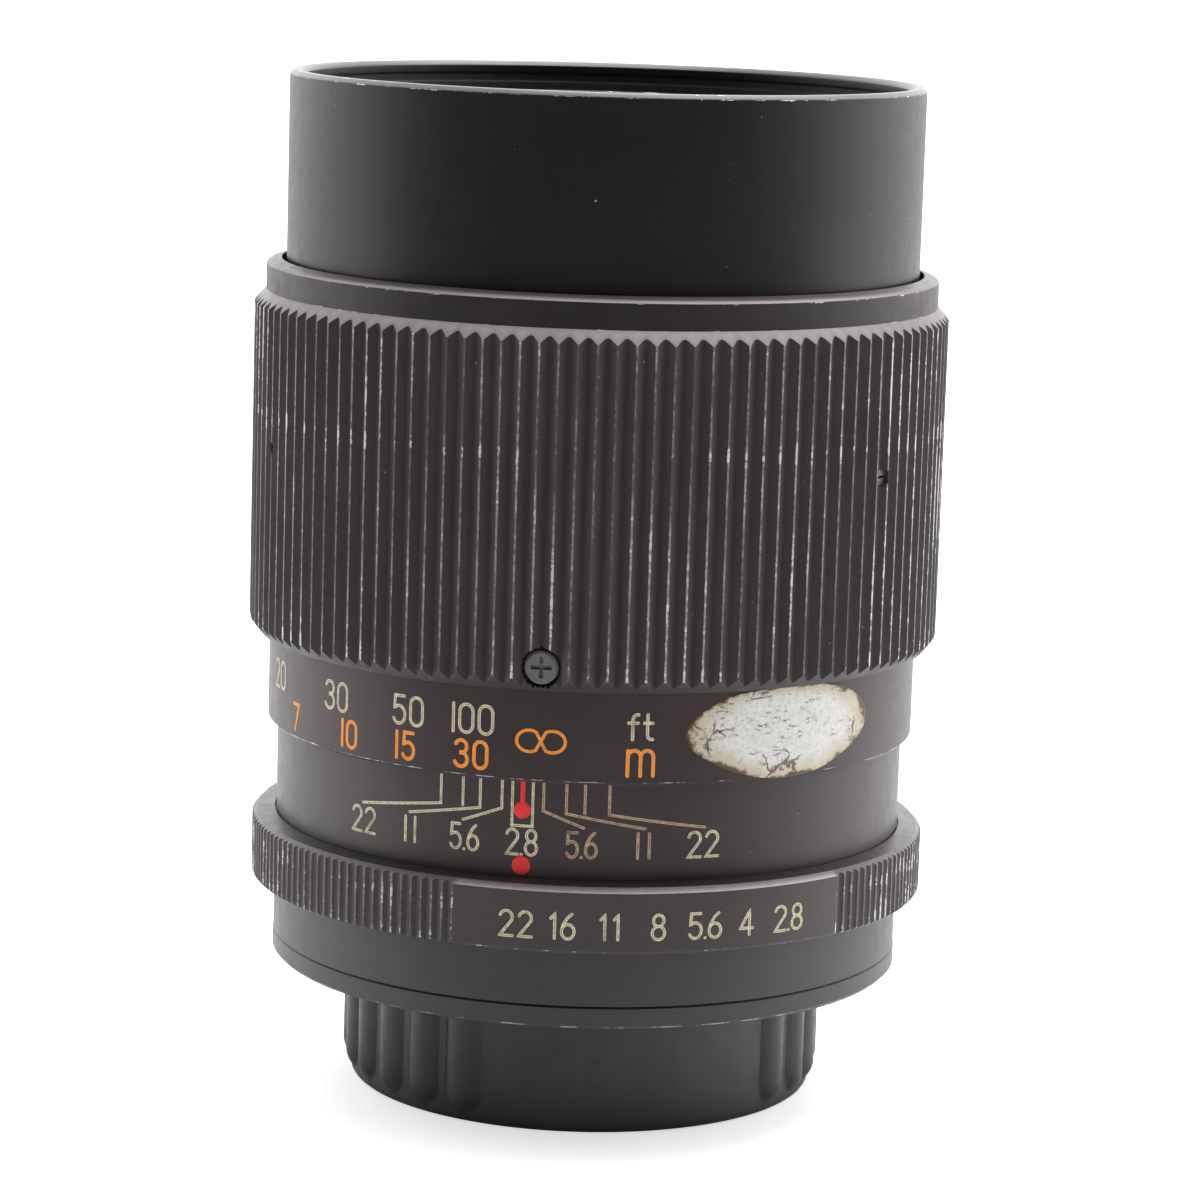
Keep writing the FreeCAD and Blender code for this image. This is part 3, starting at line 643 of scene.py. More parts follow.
@dataclass(frozen=True)
class BlackMetal:
    """Blackened aluminium with turning marks, handling tone, faded bands and edges worn to the metal."""

    name: str
    base: Colour
    second: Colour
    roughness: float
    spread: float = 0.08
    grain: float = 0.000004
    pitch: float = 9000.0
    rims: Tuple[Rim, ...] = ()
    seams: Tuple[Seam, ...] = ()
    fade: Optional[Fade] = None
    crest: Optional[Crest] = None
    dust: float = 0.05
    bare: Colour = (0.86, 0.82, 0.84)

    def material(self) -> bpy.types.Material:
        """Builds the material, or returns the one already built."""
        made = bpy.data.materials.get(self.name)
        if made:
            return made
        made, t, shader = new_material(self.name)
        point = t.object_point()
        tone = t.group(effect(Effect.HANDLING), Point=point, Patch=60.0)
        lines = t.group(effect(Effect.LATHE_LINES), Point=point, Pitch=self.pitch)
        slow = t.times(tone.outputs["Tone"], 0.55)
        mixed = t.sum("MULTIPLY_ADD", lines.outputs["Tone"], 0.45, slow)
        colour = t.blend(mixed, self.base, self.second)
        rough = t.spread(tone.outputs["Gloss"], 0.0, 1.0, self.roughness - self.spread,
                         self.roughness + self.spread)
        own = t.node("ShaderNodeSeparateXYZ", {0: t.node("ShaderNodeTexCoord").outputs["UV"]})
        if self.crest:
            # Darker where the raised share in the second UV coordinate is low: partly dirt and partly painted
            # shade in the valleys; rows whose share is set to nought darken the same way.
            dirt_and_shade_share = t.spread(own.outputs[1], 0.0, 0.75, self.crest.dirt_and_shade, 0.0)
            colour = t.blend(dirt_and_shade_share, colour, (0.006, 0.005, 0.005))
        if self.fade:
            uneven = t.spread(tone.outputs["Gloss"], 0.0, 1.0, 0.82 * self.fade.amount, self.fade.amount)
            colour = t.blend(t.times(own.outputs[0], uneven), colour, self.fade.colour)
        colour = self._seamed(t, point, colour)
        bare, polished = self._bare(t, point, own.outputs[1])
        if polished is not None:
            rubbed = tuple(0.62 * c for c in self.bare)
            colour = t.blend(t.times(polished, self.crest.polish), colour, rubbed)
        if bare is not None:
            bright = t.blend(tone.outputs["Gloss"], tuple(0.72 * c for c in self.bare), self.bare)
            colour = t.blend(bare, colour, bright)
            rough = t.spread(bare, 0.0, 1.0, rough, 0.34)
            t.feed(shader.inputs["Metallic"], t.times(bare, 0.3))
        specks = t.group(effect(Effect.DUST), Point=point, Cells=800.0, Share=self.dust)
        colour = t.blend(t.times(specks.outputs["Mask"], 0.55), colour, (0.5, 0.5, 0.5))
        t.feed(shader.inputs["Base Color"], colour)
        t.feed(shader.inputs["Roughness"], rough)
        height = lines.outputs["Height"]
        if bare is not None:
            height = t.minus(height, t.times(bare, 1.5))
        t.relief(shader, height, 0.6, self.grain)
        return made

    def _seamed(self, t: Tree, point: object, colour: object) -> object:
        """Lays the dark seams over the black."""
        if self.seams:
            _, height, _ = t.cylinder(point)
        for seam in self.seams:
            off = t.sum("ABSOLUTE", t.minus(height, seam.height * MM))
            colour = t.blend(t.spread(off, seam.half * MM, 0.6 * seam.half * MM), colour, seam.colour)
        return colour

    def _bare(self, t: Tree, point: object, raised: object) -> Tuple[Optional[object], Optional[object]]:
        """Strongest mask of bare metal and the thin polish on crests, each None where there is none."""
        masks, polished = [], None
        for rim in self.rims:
            worn = t.group(effect(Effect.RIM_WEAR), Point=point, Radius=rim.radius * MM,
                           Height=rim.height * MM, Reach=rim.reach * MM, Cover=rim.cover, Patch=rim.patch)
            masks.append(worn.outputs["Mask"])
        if self.crest:
            worn = t.group(effect(Effect.CREST_WEAR), Point=point, Raised=raised, From=self.crest.level,
                           Cover=self.crest.cover, Patch=self.crest.patch, Knock=self.crest.knock * MM,
                           Foot=self.crest.foot * MM)
            masks.append(worn.outputs["Mask"])
            polished = worn.outputs["Line"]
        if not masks:
            return None, polished
        strongest = masks[0]
        for mask in masks[1:]:
            strongest = t.sum("MAXIMUM", strongest, mask)
        return strongest, polished


def new_material(name: str) -> Tuple[bpy.types.Material, Tree, bpy.types.Node]:
    """Starts a material with one Principled shader wired to its output.

    Args:
        name: name of the material.

    Returns:
        The material, its tree helper and its shader node.
    """
    made = bpy.data.materials.new(name)
    made.use_nodes = True
    made.node_tree.nodes.clear()
    t = Tree(made.node_tree)
    shader = t.node("ShaderNodeBsdfPrincipled")
    t.node("ShaderNodeOutputMaterial", {"Surface": shader.outputs[0]})
    return made, t, shader


@dataclass(frozen=True)
class PaintFill:
    """Paint in an engraved line: lighter where it climbs the sides, darker and grainy in the middle, the dark
    middle being painted shade at the bottom of the groove.
    """

    name: str
    edge: Colour
    # Colour along the stroke's middle, darkened as painted shade of the groove's bottom.
    middle: Colour
    roughness: float = 0.55

    def material(self) -> bpy.types.Material:
        """Builds the material, or returns the one already built."""
        made = bpy.data.materials.get(self.name)
        if made:
            return made
        made, t, shader = new_material(self.name)
        coords = t.node("ShaderNodeTexCoord")
        across = t.node("ShaderNodeSeparateXYZ", {0: coords.outputs["UV"]}).outputs[1]
        off = t.sum("ABSOLUTE", t.minus(across, 0.5))
        grit = t.noise(coords.outputs["Object"], 3200.0, 4.0, 0.7)
        # Painted shade across the stroke, darkest along its middle, broken up by grit.
        worn = t.plus(t.times(off, 2.0), t.times(t.minus(grit, 0.5), 2.4))
        colour = t.blend(t.spread(worn, 0.15, 0.75), self.middle, self.edge)
        slow = t.noise(coords.outputs["Object"], 420.0, 3.0, 0.6)
        colour = t.blend(t.spread(slow, 0.56, 0.72, 0.0, 0.65), colour, tuple(0.45 * c for c in self.middle))
        t.feed(shader.inputs["Base Color"], colour)
        rough = t.spread(grit, 0.3, 0.7, self.roughness - 0.1, self.roughness + 0.1)
        t.feed(shader.inputs["Roughness"], rough)
        t.relief(shader, t.plus(grit, off), 0.5, 0.00002)
        return made


@dataclass(frozen=True)
class MouldedPlastic:
    """Black moulded plastic with a faint texture, rubs and settled dust."""

    name: str = "cap_plastic_finish"
    base: Colour = (0.038, 0.038, 0.039)
    rubbed: Colour = (0.054, 0.053, 0.054)
    roughness: float = 0.40

    def material(self) -> bpy.types.Material:
        """Builds the material."""
        made, t, shader = new_material(self.name)
        point = t.object_point()
        tone = t.group(effect(Effect.HANDLING), Point=point, Patch=90.0)
        specks = t.group(effect(Effect.DUST), Point=point, Cells=420.0, Share=0.06)
        colour = t.blend(tone.outputs["Tone"], self.base, self.rubbed)
        colour = t.blend(t.times(specks.outputs["Mask"], 0.4), colour, (0.4, 0.4, 0.4))
        t.feed(shader.inputs["Base Color"], colour)
        gloss = t.spread(tone.outputs["Gloss"], 0.0, 1.0, self.roughness - 0.06, self.roughness + 0.08)
        t.feed(shader.inputs["Roughness"], gloss)
        orange = t.noise(point, 2600.0, 3.0, 0.6)
        t.relief(shader, orange, 0.35, 0.000012)
        return made


@dataclass(frozen=True)
class BareMetal:
    """Bright turned metal, such as brass or steel, with lines and thin stains."""

    name: str
    base: Colour
    stain: Colour
    roughness: float
    lines: float = 7000.0

    def material(self) -> bpy.types.Material:
        """Builds the material."""
        made, t, shader = new_material(self.name)
        point = t.object_point()
        tone = t.group(effect(Effect.HANDLING), Point=point, Patch=150.0)
        marks = t.group(effect(Effect.LATHE_LINES), Point=point, Pitch=self.lines)
        t.feed(shader.inputs["Base Color"], t.blend(tone.outputs["Tone"], self.base, self.stain))
        rough = t.spread(marks.outputs["Tone"], 0.0, 1.0, self.roughness - 0.07, self.roughness + 0.09)
        t.feed(shader.inputs["Roughness"], rough)
        shader.inputs["Metallic"].default_value = 1.0
        t.relief(shader, marks.outputs["Height"], 0.4, 0.000004)
        return made


@dataclass(frozen=True)
class CoatedGlass:
    """Polished glass with a coloured anti-reflection coating and a little dust.

    The index is set below the glass's own, because the coating takes away most of the reflection.
    """

    name: str
    body: Colour = (0.93, 0.95, 0.92)
    coating: Colour = (0.40, 0.26, 0.72)
    index: float = 1.32

    def material(self) -> bpy.types.Material:
        """Builds the material."""
        made, t, shader = new_material(self.name)
        point = t.object_point()
        specks = t.group(effect(Effect.DUST), Point=point, Cells=700.0, Share=0.05)
        t.feed(shader.inputs["Base Color"], t.blend(specks.outputs["Mask"], self.body, (0.7, 0.7, 0.7)))
        t.feed(shader.inputs["Roughness"], t.spread(specks.outputs["Mask"], 0.0, 1.0, 0.015, 0.5))
        shader.inputs["Transmission Weight"].default_value = 1.0
        shader.inputs["IOR"].default_value = self.index
        shader.inputs["Specular Tint"].default_value = (*self.coating, 1.0)
        return made


@dataclass(frozen=True)
class VelvetStrip:
    """Black pile that lines the front barrel."""

    name: str = "velvet_finish"

    def material(self) -> bpy.types.Material:
        """Builds the material."""
        made, t, shader = new_material(self.name)
        point = t.object_point()
        pile = t.noise(point, 6000.0, 4.0, 0.8)
        t.feed(shader.inputs["Base Color"], t.blend(pile, (0.006, 0.006, 0.006), (0.03, 0.03, 0.03)))
        t.feed(shader.inputs["Roughness"], t.spread(pile, 0.3, 0.7, 0.85, 1.0))
        shader.inputs["Sheen Weight"].default_value = 0.4
        t.relief(shader, pile, 0.9, 0.00008)
        return made


@dataclass(frozen=True)
class ScuffedLabel:
    """White glazed label: rubbed and cracked, with brown torn edges and worn dark scuffs."""

    name: str = "label_finish"
    paper: Colour = (0.80, 0.79, 0.76)
    grimy: Colour = (0.58, 0.56, 0.52)
    stained: Colour = (0.56, 0.47, 0.30)
    torn: Colour = (0.12, 0.065, 0.03)
    scuffed: Colour = (0.035, 0.035, 0.032)

    def material(self) -> bpy.types.Material:
        """Builds the material."""
        made, t, shader = new_material(self.name)
        coords = t.node("ShaderNodeTexCoord")
        point = coords.outputs["Object"]
        inward = t.node("ShaderNodeSeparateXYZ", {0: coords.outputs["UV"]}).outputs[1]
        fine = t.noise(point, 2400.0, 5.0, 0.75)
        patches = t.noise(point, 520.0, 4.0, 0.65)
        colour = t.blend(t.spread(fine, 0.46, 0.66, 0.0, 0.8), self.paper, self.grimy)
        colour = t.blend(t.spread(patches, 0.55, 0.72, 0.0, 0.6), colour, self.grimy)
        ragged = t.noise(point, 360.0, 5.0, 0.7)
        edge = t.plus(inward, t.times(t.minus(ragged, 0.5), 0.42))
        colour = t.blend(t.spread(edge, 0.62, 0.95, 0.0, 0.75), colour, self.stained)
        colour = t.blend(t.spread(edge, 0.93, 1.0), colour, self.torn)
        crack = self._cracks(t, point)
        colour = t.blend(t.times(crack, 0.85), colour, self.torn)
        colour = t.blend(self._scuffs(t, point), colour, self.scuffed)
        t.feed(shader.inputs["Base Color"], colour)
        t.feed(shader.inputs["Roughness"], t.spread(patches, 0.3, 0.7, 0.3, 0.5))
        height = t.minus(t.times(fine, 0.5), t.times(crack, 1.4))
        t.relief(shader, height, 0.6, 0.00006)
        return made

    def _cracks(self, t: Tree, point: object) -> object:
        """Cracks: cell walls of a bent Voronoi pattern, kept only where a slow noise is high."""
        bend = t.node("ShaderNodeTexNoise", {"Vector": point, "Scale": 700.0, "Detail": 3.0})
        shift = t.node("ShaderNodeVectorMath", {0: bend.outputs["Color"], "Scale": 0.0016}, operation="SCALE")
        bent = t.node("ShaderNodeVectorMath", {0: point, 1: shift.outputs[0]}, operation="ADD")
        cells = t.node("ShaderNodeTexVoronoi", {"Vector": bent.outputs[0], "Scale": 300.0},
                       feature="DISTANCE_TO_EDGE")
        kept = t.spread(t.noise(point, 230.0, 2.0, 0.5), 0.50, 0.58)
        return t.times(t.spread(cells.outputs["Distance"], 0.035, 0.012), kept)

    def _scuffs(self, t: Tree, point: object) -> object:
        """Scuffs: short broken dark marks, kept in a few patches."""
        axes = t.node("ShaderNodeMapping", {"Vector": point, "Scale": (0.55, 0.55, 1.9)})
        streak = t.noise(axes.outputs[0], 1500.0, 5.0, 0.8)
        kept = t.spread(t.noise(point, 260.0, 2.0, 0.5), 0.47, 0.55)
        return t.times(t.spread(streak, 0.555, 0.61), t.times(kept, 0.85))


# blacks, in linear tones
HOOD_FINISH = BlackMetal(
    "hood_finish", (0.0135, 0.0125, 0.0128), (0.0175, 0.0165, 0.0168), 0.37, 0.025,
    rims=(Rim(30.48, 97.88, 0.3, -0.02, 420.0), Rim(30.1, 98.25, 0.3, -0.06, 620.0)),
    fade=Fade((0.17, 0.165, 0.17), 0.85), dust=0.10)
FRONT_FINISH = BlackMetal("front_finish", (0.012, 0.012, 0.012), (0.018, 0.018, 0.018), 0.42,
                          rims=(Rim(27.5, 95.5, 0.3, 0.0),))
GRIP_FINISH = BlackMetal(
    "grip_finish", (0.050, 0.0400, 0.0380), (0.066, 0.0535, 0.0510), 0.44, 0.05,
    rims=(Rim(32.4, 79.75, 0.25, -0.07, 600.0), Rim(32.4, 77.35, 0.3, -0.10, 700.0)),
    fade=Fade((0.50, 0.44, 0.47), 0.95),
    crest=Crest(0.965, 0.275, 170.0, 0.55, 0.52, 66.0, 45.0), dust=0.10)
SCALE_FINISH = BlackMetal(
    "scale_finish", (0.048, 0.0345, 0.0345), (0.058, 0.0430, 0.0430), 0.40, 0.03,
    rims=(Rim(31.5, 35.88, 0.16, 0.16, 520.0),))
BARREL_FINISH = BlackMetal("barrel_finish", (0.052, 0.0400, 0.0395), (0.062, 0.0490, 0.0485), 0.40, 0.03)
BASE_FINISH = BlackMetal(
    "base_finish", (0.050, 0.050, 0.054), (0.060, 0.060, 0.064), 0.42, 0.03,
    rims=(Rim(30.45, 12.55, 0.22, 0.22, 420.0),), seams=(Seam(14.5),))
RING_FINISH = BlackMetal(
    "ring_finish", (0.062, 0.0505, 0.0505), (0.076, 0.063, 0.063), 0.40, 0.04,
    rims=(Rim(32.85, 20.28, 0.3, 0.16, 420.0), Rim(32.9, 25.95, 0.2, 0.02, 480.0)),
    fade=Fade((0.66, 0.56, 0.60), 0.95),
    crest=Crest(0.88, 0.20, 300.0, 0.4, 0.45, 24.2, 20.4))
INNER_FINISH = BlackMetal("inner_finish", (0.008, 0.008, 0.008), (0.014, 0.014, 0.014), 0.6)
SCREW_FINISH = BlackMetal("screw_finish", (0.11, 0.105, 0.105), (0.20, 0.19, 0.19), 0.28, dust=0.15)
BLADE_FINISH = BlackMetal("blade_finish", (0.03, 0.03, 0.034), (0.05, 0.05, 0.056), 0.38)
BRASS_FINISH = BareMetal("brass_finish", (0.62, 0.46, 0.20), (0.42, 0.29, 0.11), 0.32)
STEEL_FINISH = BareMetal("steel_finish", (0.60, 0.60, 0.61), (0.42, 0.41, 0.40), 0.30)
CREAM = PaintFill("cream_paint", (0.84, 0.77, 0.55), (0.42, 0.36, 0.20))
BROWN_CREAM = PaintFill("brown_cream_paint", (0.60, 0.44, 0.28), (0.27, 0.17, 0.09))
ORANGE = PaintFill("orange_paint", (1.0, 0.38, 0.05), (0.92, 0.25, 0.018))
RED = PaintFill("red_paint", (0.95, 0.026, 0.018), (0.92, 0.020, 0.014), 0.4)


def dress(piece: bpy.types.Object, material: bpy.types.Material) -> None:
    """Gives a piece or a carried-over node one material."""
    piece.data.materials.clear()
    piece.data.materials.append(material)


def settle(piece: bpy.types.Object, body: Body, material: bpy.types.Material,
           replaced: Sequence[str] = ()) -> bpy.types.Object:
    """Finishes a new piece: material, body and the nodes that it stands for.

    Args:
        piece: the new object.
        body: the body that it rides on.
        material: its material.
        replaced: CAD nodes that it replaces.

    Returns:
        The same object.
    """
    dress(piece, material)
    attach(piece, body.value)
    if replaced:
        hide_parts(*replaced)
    LOG.info("%s: %d faces on %s", piece.name, len(piece.data.polygons), body.value)
    return piece


# ------------------------------------------------------------------ sub-assemblies
@dataclass
class Hood:
    """Sliding hood: thin tube with a bevelled rim."""

    radius: float = 30.5
    bore: float = 29.0
    foot: float = 75.0
    top: float = 98.3
    bevel: float = 0.4
    lead_in: float = 0.55
    groove: float = 0.28

    def build(self) -> None:
        """Makes the hood's shell."""
        bore, top = self.bore, self.top
        outline = [(bore, self.foot), (self.radius, self.foot), (self.radius, top - self.bevel),
                   (self.radius - self.bevel, top), (bore + self.lead_in, top),
                   (bore, top - self.lead_in + 0.1), (bore, top - 1.1), (bore + self.groove, top - 1.35),
                   (bore + self.groove, top - 1.9), (bore, top - 2.1)]
        shell = rounded(outline, [0.1, 0.1, 0.12, 0.12, 0.1, 0.1, 0, 0, 0, 0])
        rim = (shell[:, 1] > top - self.bevel) & (shell[:, 0] > bore + 0.2)
        slope = (shell[:, 1] < top - 1.2) & (shell[:, 1] > top - 2.2) & (shell[:, 0] < bore + 0.3)
        faded = rim + 0.4 * slope
        hood = turned("hood_shell", shell, 360, faded)
        settle(hood, Body.HOOD, HOOD_FINISH.material(), ["hood"])


@dataclass
class FrontBarrel:
    """Filter thread and the retaining ring round the front glass."""

    bore: float = 27.1
    thread_foot: float = 91.7
    thread_top: float = 94.9
    pitch: float = 0.75
    ridge: float = 0.34
    run_out: float = 0.35
    segments: int = 240

    def threads(self) -> None:
        """Helical filter thread: the radius falls by a ridge at every pitch, and it climbs a pitch a turn."""
        rel = np.arange(self.segments) * TURN / self.segments
        height = np.linspace(self.thread_foot, self.thread_top, 46)
        phase = np.mod((height[:, None] - self.pitch * rel[None] / TURN) / self.pitch, 1.0)
        ridge = self.ridge * np.clip(1.15 - 2.3 * np.abs(phase - 0.5), 0.0, 0.9)
        to_end = np.minimum(height - self.thread_foot, self.thread_top - height)
        fade = np.clip(to_end / self.run_out, 0.0, 1.0)
        radius = self.bore - 0.01 - ridge * fade[:, None]
        back = np.full((1, self.segments), self.bore - 0.004)
        radius = np.concatenate([back, back, radius[::-1]])
        height = np.concatenate([height[:1], height[-1:], height[::-1]])
        work = Patchwork()
        work.add(on_axis(rel[None], radius, height[:, None]), wrap_columns=True, wrap_rows=True)
        settle(work.piece("filter_thread_turns", 40.0), Body.OPTICS, FRONT_FINISH.material())

    def retaining_ring(self) -> None:
        """Stepped light-trap ring round the front glass: small ridges along its cone."""
        cone = np.linspace(0, 1, 25)
        ridges = 0.07 * np.abs(np.mod(cone * 6, 1.0) - 0.5)
        slope = np.stack([26.2 - 1.3 * cone, 89.3 - 1.4 * cone + ridges], axis=-1)
        outline = np.concatenate([[(24.0, 86.5), (26.55, 86.5), (26.55, 89.0)], slope, [(24.0, 87.9)]])
        ring = turned("light_trap_ring", outline, self.segments)
        settle(ring, Body.OPTICS, FRONT_FINISH.material(), ["front_retaining_ring"])

    def build(self) -> None:
        """Makes the threads and the light-trap retaining ring."""
        self.threads()
        self.retaining_ring()


@dataclass
class FocusRing:
    """Fluted grip, the figures on the scale sleeve, and the label."""

    grip_radius: float = 33.5
    flutes: int = 120
    depth: float = 0.6
    phase: float = 0.2
    land: float = 0.26
    foot: float = 44.4
    foot_radius: float = 32.6
    screws_top: float = 49.3
    collar_radius: float = 32.4
    collar_foot: float = 77.35
    bore: float = 30.95
    screw_rel: float = 3.25
    screw_z: float = 46.6
    set_rel: float = 63.8
    set_z: float = 63.15
    recesses: Tuple[float, float] = (1.8, 0.75)
    recess_floors: Tuple[float, float] = (32.3, 32.5)
    sleeve_radius: float = 31.5
    feet_z: float = 41.1
    metres_z: float = 37.8
    label_at: Tuple[float, float] = (46.85, 40.33)
    label_half: Tuple[float, float] = (10.75, 4.62)
    label_cut: float = 3.98

    def columns(self) -> np.ndarray:
        """Azimuths of the grip's columns: seven per flute and a fine run across each screw recess."""
        pitch = TURN / self.flutes
        edge = pitch / 2 - self.land / 2
        local = np.array([-edge, -0.68, -0.34, 0.0, 0.34, 0.68, edge])
        rel = (self.phase + pitch * np.arange(self.flutes)[:, None] + local[None]).ravel()
        for third in THIRDS:
            rel = np.concatenate([rel, self.screw_rel + third + np.arange(-3.75, 3.76, 0.15)])
            rel = np.concatenate([rel, self.set_rel + third + np.arange(-1.45, 1.46, 0.12)])
        return np.unique(np.round(np.mod(rel, TURN), 3))

    def fluted_radius(self, rel: np.ndarray) -> Tuple[np.ndarray, np.ndarray]:
        """Flutes: straight sides from each land down to a valley that is a little rounded.

        Args:
            rel: azimuths.

        Returns:
            The radius and the raised share, nought in a valley and one on a land.
        """
        pitch = TURN / self.flutes
        off = np.abs(np.mod(rel - self.phase + pitch / 2, pitch) - pitch / 2)
        down = 1.0 - np.clip(off / (pitch / 2 - self.land / 2), 0.0, 1.0)
        soft = 1.12 * (down - 0.95 * np.maximum(0.0, down - 0.52) ** 2)
        return self.grip_radius - self.depth * soft, 1.0 - down

    def chamfered_rows(self, crest: np.ndarray) -> Tuple[Rows, List[float]]:
        """Rows of the flutes and both chamfers, from the foot up.

        The chamfers run straight between the collar's or the foot's radius and the flutes' own, so that each
        flute ends in a point.

        Args:
            crest: the flutes' radius at each column.

        Returns:
            (radius, height) rows and the faded share of each.
        """
        low = self.foot + (crest - self.foot_radius) / 0.95 * 1.25
        high = self.collar_foot - (crest - self.collar_radius) / 1.15 * 1.3
        flat = np.ones_like(crest)
        rows = [(31.5 * flat, self.foot * flat), (32.52 * flat, self.foot * flat)]
        for s in np.linspace(0.04, 1, 5):
            radius = self.foot_radius + (crest - self.foot_radius) * s
            rows.append((radius, self.foot + (low - self.foot) * s))
        for s in np.linspace(0, 1, 30)[1:]:
            rows.append((crest, low + (self.screws_top - low) * s))
        for z in np.r_[np.linspace(50.5, 62.0, 5), np.linspace(62.3, 64.0, 13), np.linspace(65.0, 75.2, 6)]:
            rows.append((crest, z * flat))
        rows.append((crest, high))
        faded = [0.0] * len(rows)
        for s in np.linspace(0, 1, 4):
            rows.append((crest + (self.collar_radius - crest) * s, high + (self.collar_foot - high) * s))
        return rows, faded + [0.6, 0.8, 1.0, 1.0]

    def collar(self) -> List[Tuple[float, float, float]]:
        """Radius, height and faded share up the collar, over its rim and down the bore."""
        return [(self.collar_radius, self.collar_foot, 0.0), (self.collar_radius, 79.7, 0.0),
                (32.37, 79.8, 0.0), (32.37, 79.8, 1.0), (32.15, 80.0, 0.75), (31.75, 80.12, 0.3),
                (31.75, 80.12, 0.2), (31.0, 80.33, 0.1), (self.bore, 80.3, 0.0), (self.bore, 74.5, 0.0),
                (31.5, 74.5, 0.0)]

    def recessed(self, rel: np.ndarray, radius: np.ndarray, height: np.ndarray) -> np.ndarray:
        """Sinks the outside to a flat floor within a circle round each screw: off^2 + rise^2 < size^2.

        Args:
            rel: azimuths of the columns.
            radius: radii, rows by columns.
            height: heights, rows by columns.

        Returns:
            The new radii.
        """
        outside = radius > 32.3
        places = zip((self.screw_rel, self.set_rel), (self.screw_z, self.set_z), self.recesses,
                     self.recess_floors)
        for where, level, size, floor in places:
            for third in THIRDS:
                off = np.radians(np.mod(rel - where - third + 180.0, TURN) - 180.0)[None] * 33.0
                sunk = (off ** 2 + (height - level) ** 2 < size ** 2) & outside
                radius = np.where(sunk, np.minimum(radius, floor), radius)
        return radius

    def grip(self) -> None:
        """Grip: flutes between chamfers, and the collar.

        UVs hold the faded share, stronger on two sides, and the raised share, set to nought on the collar's
        side and the lower chamfer, which makes them as dark as the valleys.
        """
        rel = self.columns()
        crest, raised = self.fluted_radius(rel)
        rows, faded = self.chamfered_rows(crest)
        collar = self.collar()
        for r, z, share in collar:
            rows.append((np.full_like(rel, r), np.full_like(rel, z)))
            faded.append(share)
        radius, height = (np.array(part) for part in zip(*rows))
        radius = self.recessed(rel, radius, height)
        fluted = (np.abs(radius - crest) < 0.01) & (height < 76.9)
        on_crest = np.where(fluted, 0.25 + 0.75 * raised[None], 0.75)
        # Nought on the collar's side and the lower chamfer makes them as dark as the valleys.
        on_crest[-len(collar):3 - len(collar)] = 0.0
        on_crest[:6] = 0.0
        around = np.radians(rel)
        handled = 0.62 + 0.38 * np.cos(2 * (around - 0.16)) + 0.12 * smooth_noise(around, 4)
        handled = np.clip(handled, 0.2, 1.0)
        uv = np.stack([np.array(faded)[:, None] * handled[None], on_crest], axis=-1)
        work = Patchwork()
        work.add(on_axis(rel[None], radius, height), uv, wrap_columns=True, wrap_rows=True)
        settle(work.piece("fluted_grip", 25.0), Body.FOCUS, GRIP_FINISH.material(),
               ["focus_grip"])

    @staticmethod
    def distance_rel(distance: float) -> float:
        """Azimuth of a distance in millimetres: its thin-lens extension over the lead, from infinity."""
        beyond = distance - 2 * FOCAL_LENGTH
        extension = (beyond - math.sqrt(beyond * beyond - 4 * FOCAL_LENGTH ** 2)) / 2
        return INFINITY_REL - TURN / LEAD * extension

    def figures(self) -> None:
        """Distance scale: feet in cream above metres in orange."""
        cut, broad = Engraving(self.sleeve_radius, 0.29), Engraving(self.sleeve_radius, 0.34)
        feet, metres, infinity, units = Patchwork(), Patchwork(), Patchwork(), Patchwork()
        for value in ("100", "50", "30", "20", "15", "12", "10", "8", "7", "6"):
            cut.word(feet, value, self.distance_rel(float(value) * FOOT), self.feet_z, 2.9)
        for value in ("30", "15", "10", "7", "5", "4", "3", "2.5", "2"):
            broad.word(metres, value, self.distance_rel(float(value) * METRE), self.metres_z, 2.8)
        sign = (FIGURES["~"][1][0] - 0.5) * np.array([4.5, 2.0])
        cut.strokes(infinity, [sign], 3.14, 39.5)
        cut.word(units, "ft", 19.7, self.feet_z, 2.6, 0.2)
        metre = Patchwork()
        broad.word(metre, "m", 19.8, 37.74, 2.7)
        for name, work, paint in (("feet_figures", feet, CREAM), ("metre_figures", metres, ORANGE),
                                  ("infinity_mark", infinity, ORANGE), ("feet_mark", units, CREAM),
                                  ("metre_mark", metre, ORANGE)):
            settle(work.piece(name), Body.FOCUS, paint.material())

    def label(self) -> None:
        """Torn oval label: polar grid whose rim wanders, cut flat under the grip, wrinkled off the sleeve.

        The plane outline is a pointed oval, x = a cos t and y = b sin t held under the flat cut. The skin
        stands off the sleeve by its thickness plus crossed waves, and turns down at the rim.
        """
        around = np.linspace(0, 2 * np.pi, 320, endpoint=False)
        ring = np.r_[np.linspace(0, 0.94, 40), 0.965, 0.985, 1.0]
        rim = 1.0 + 0.011 * smooth_noise(around, 11, 24) + 0.006 * smooth_noise(around * 5, 5, 12)
        pointed = 1.0 - 0.045 * np.sin(2 * around) ** 2
        x = self.label_half[0] * ring[:, None] * (rim * pointed * np.cos(around))[None]
        y = self.label_half[1] * ring[:, None] * (rim * pointed * np.sin(around))[None]
        cut = self.label_cut + 0.05 * smooth_noise(around, 3, 20)[None] - 0.012 * x ** 2
        y = np.minimum(y, cut * (0.25 + 0.75 * ring[:, None]))
        wrinkle = 0.016 * np.sin(x * 2.1 + 1.3 * np.sin(y * 1.7)) * np.sin(y * 2.6 + 0.8 * x)
        inner = (ring < 0.95)[:, None]
        thick = np.where(ring > 0.99, 0.008, 0.055)[:, None] + wrinkle * inner
        uv = np.stack(np.broadcast_arrays(around[None] / (2 * np.pi), ring[:, None]), axis=-1)
        rel = self.label_at[0] + np.degrees(x / self.sleeve_radius)
        grid = on_axis(rel, self.sleeve_radius + thick, self.label_at[1] + y)
        work = Patchwork()
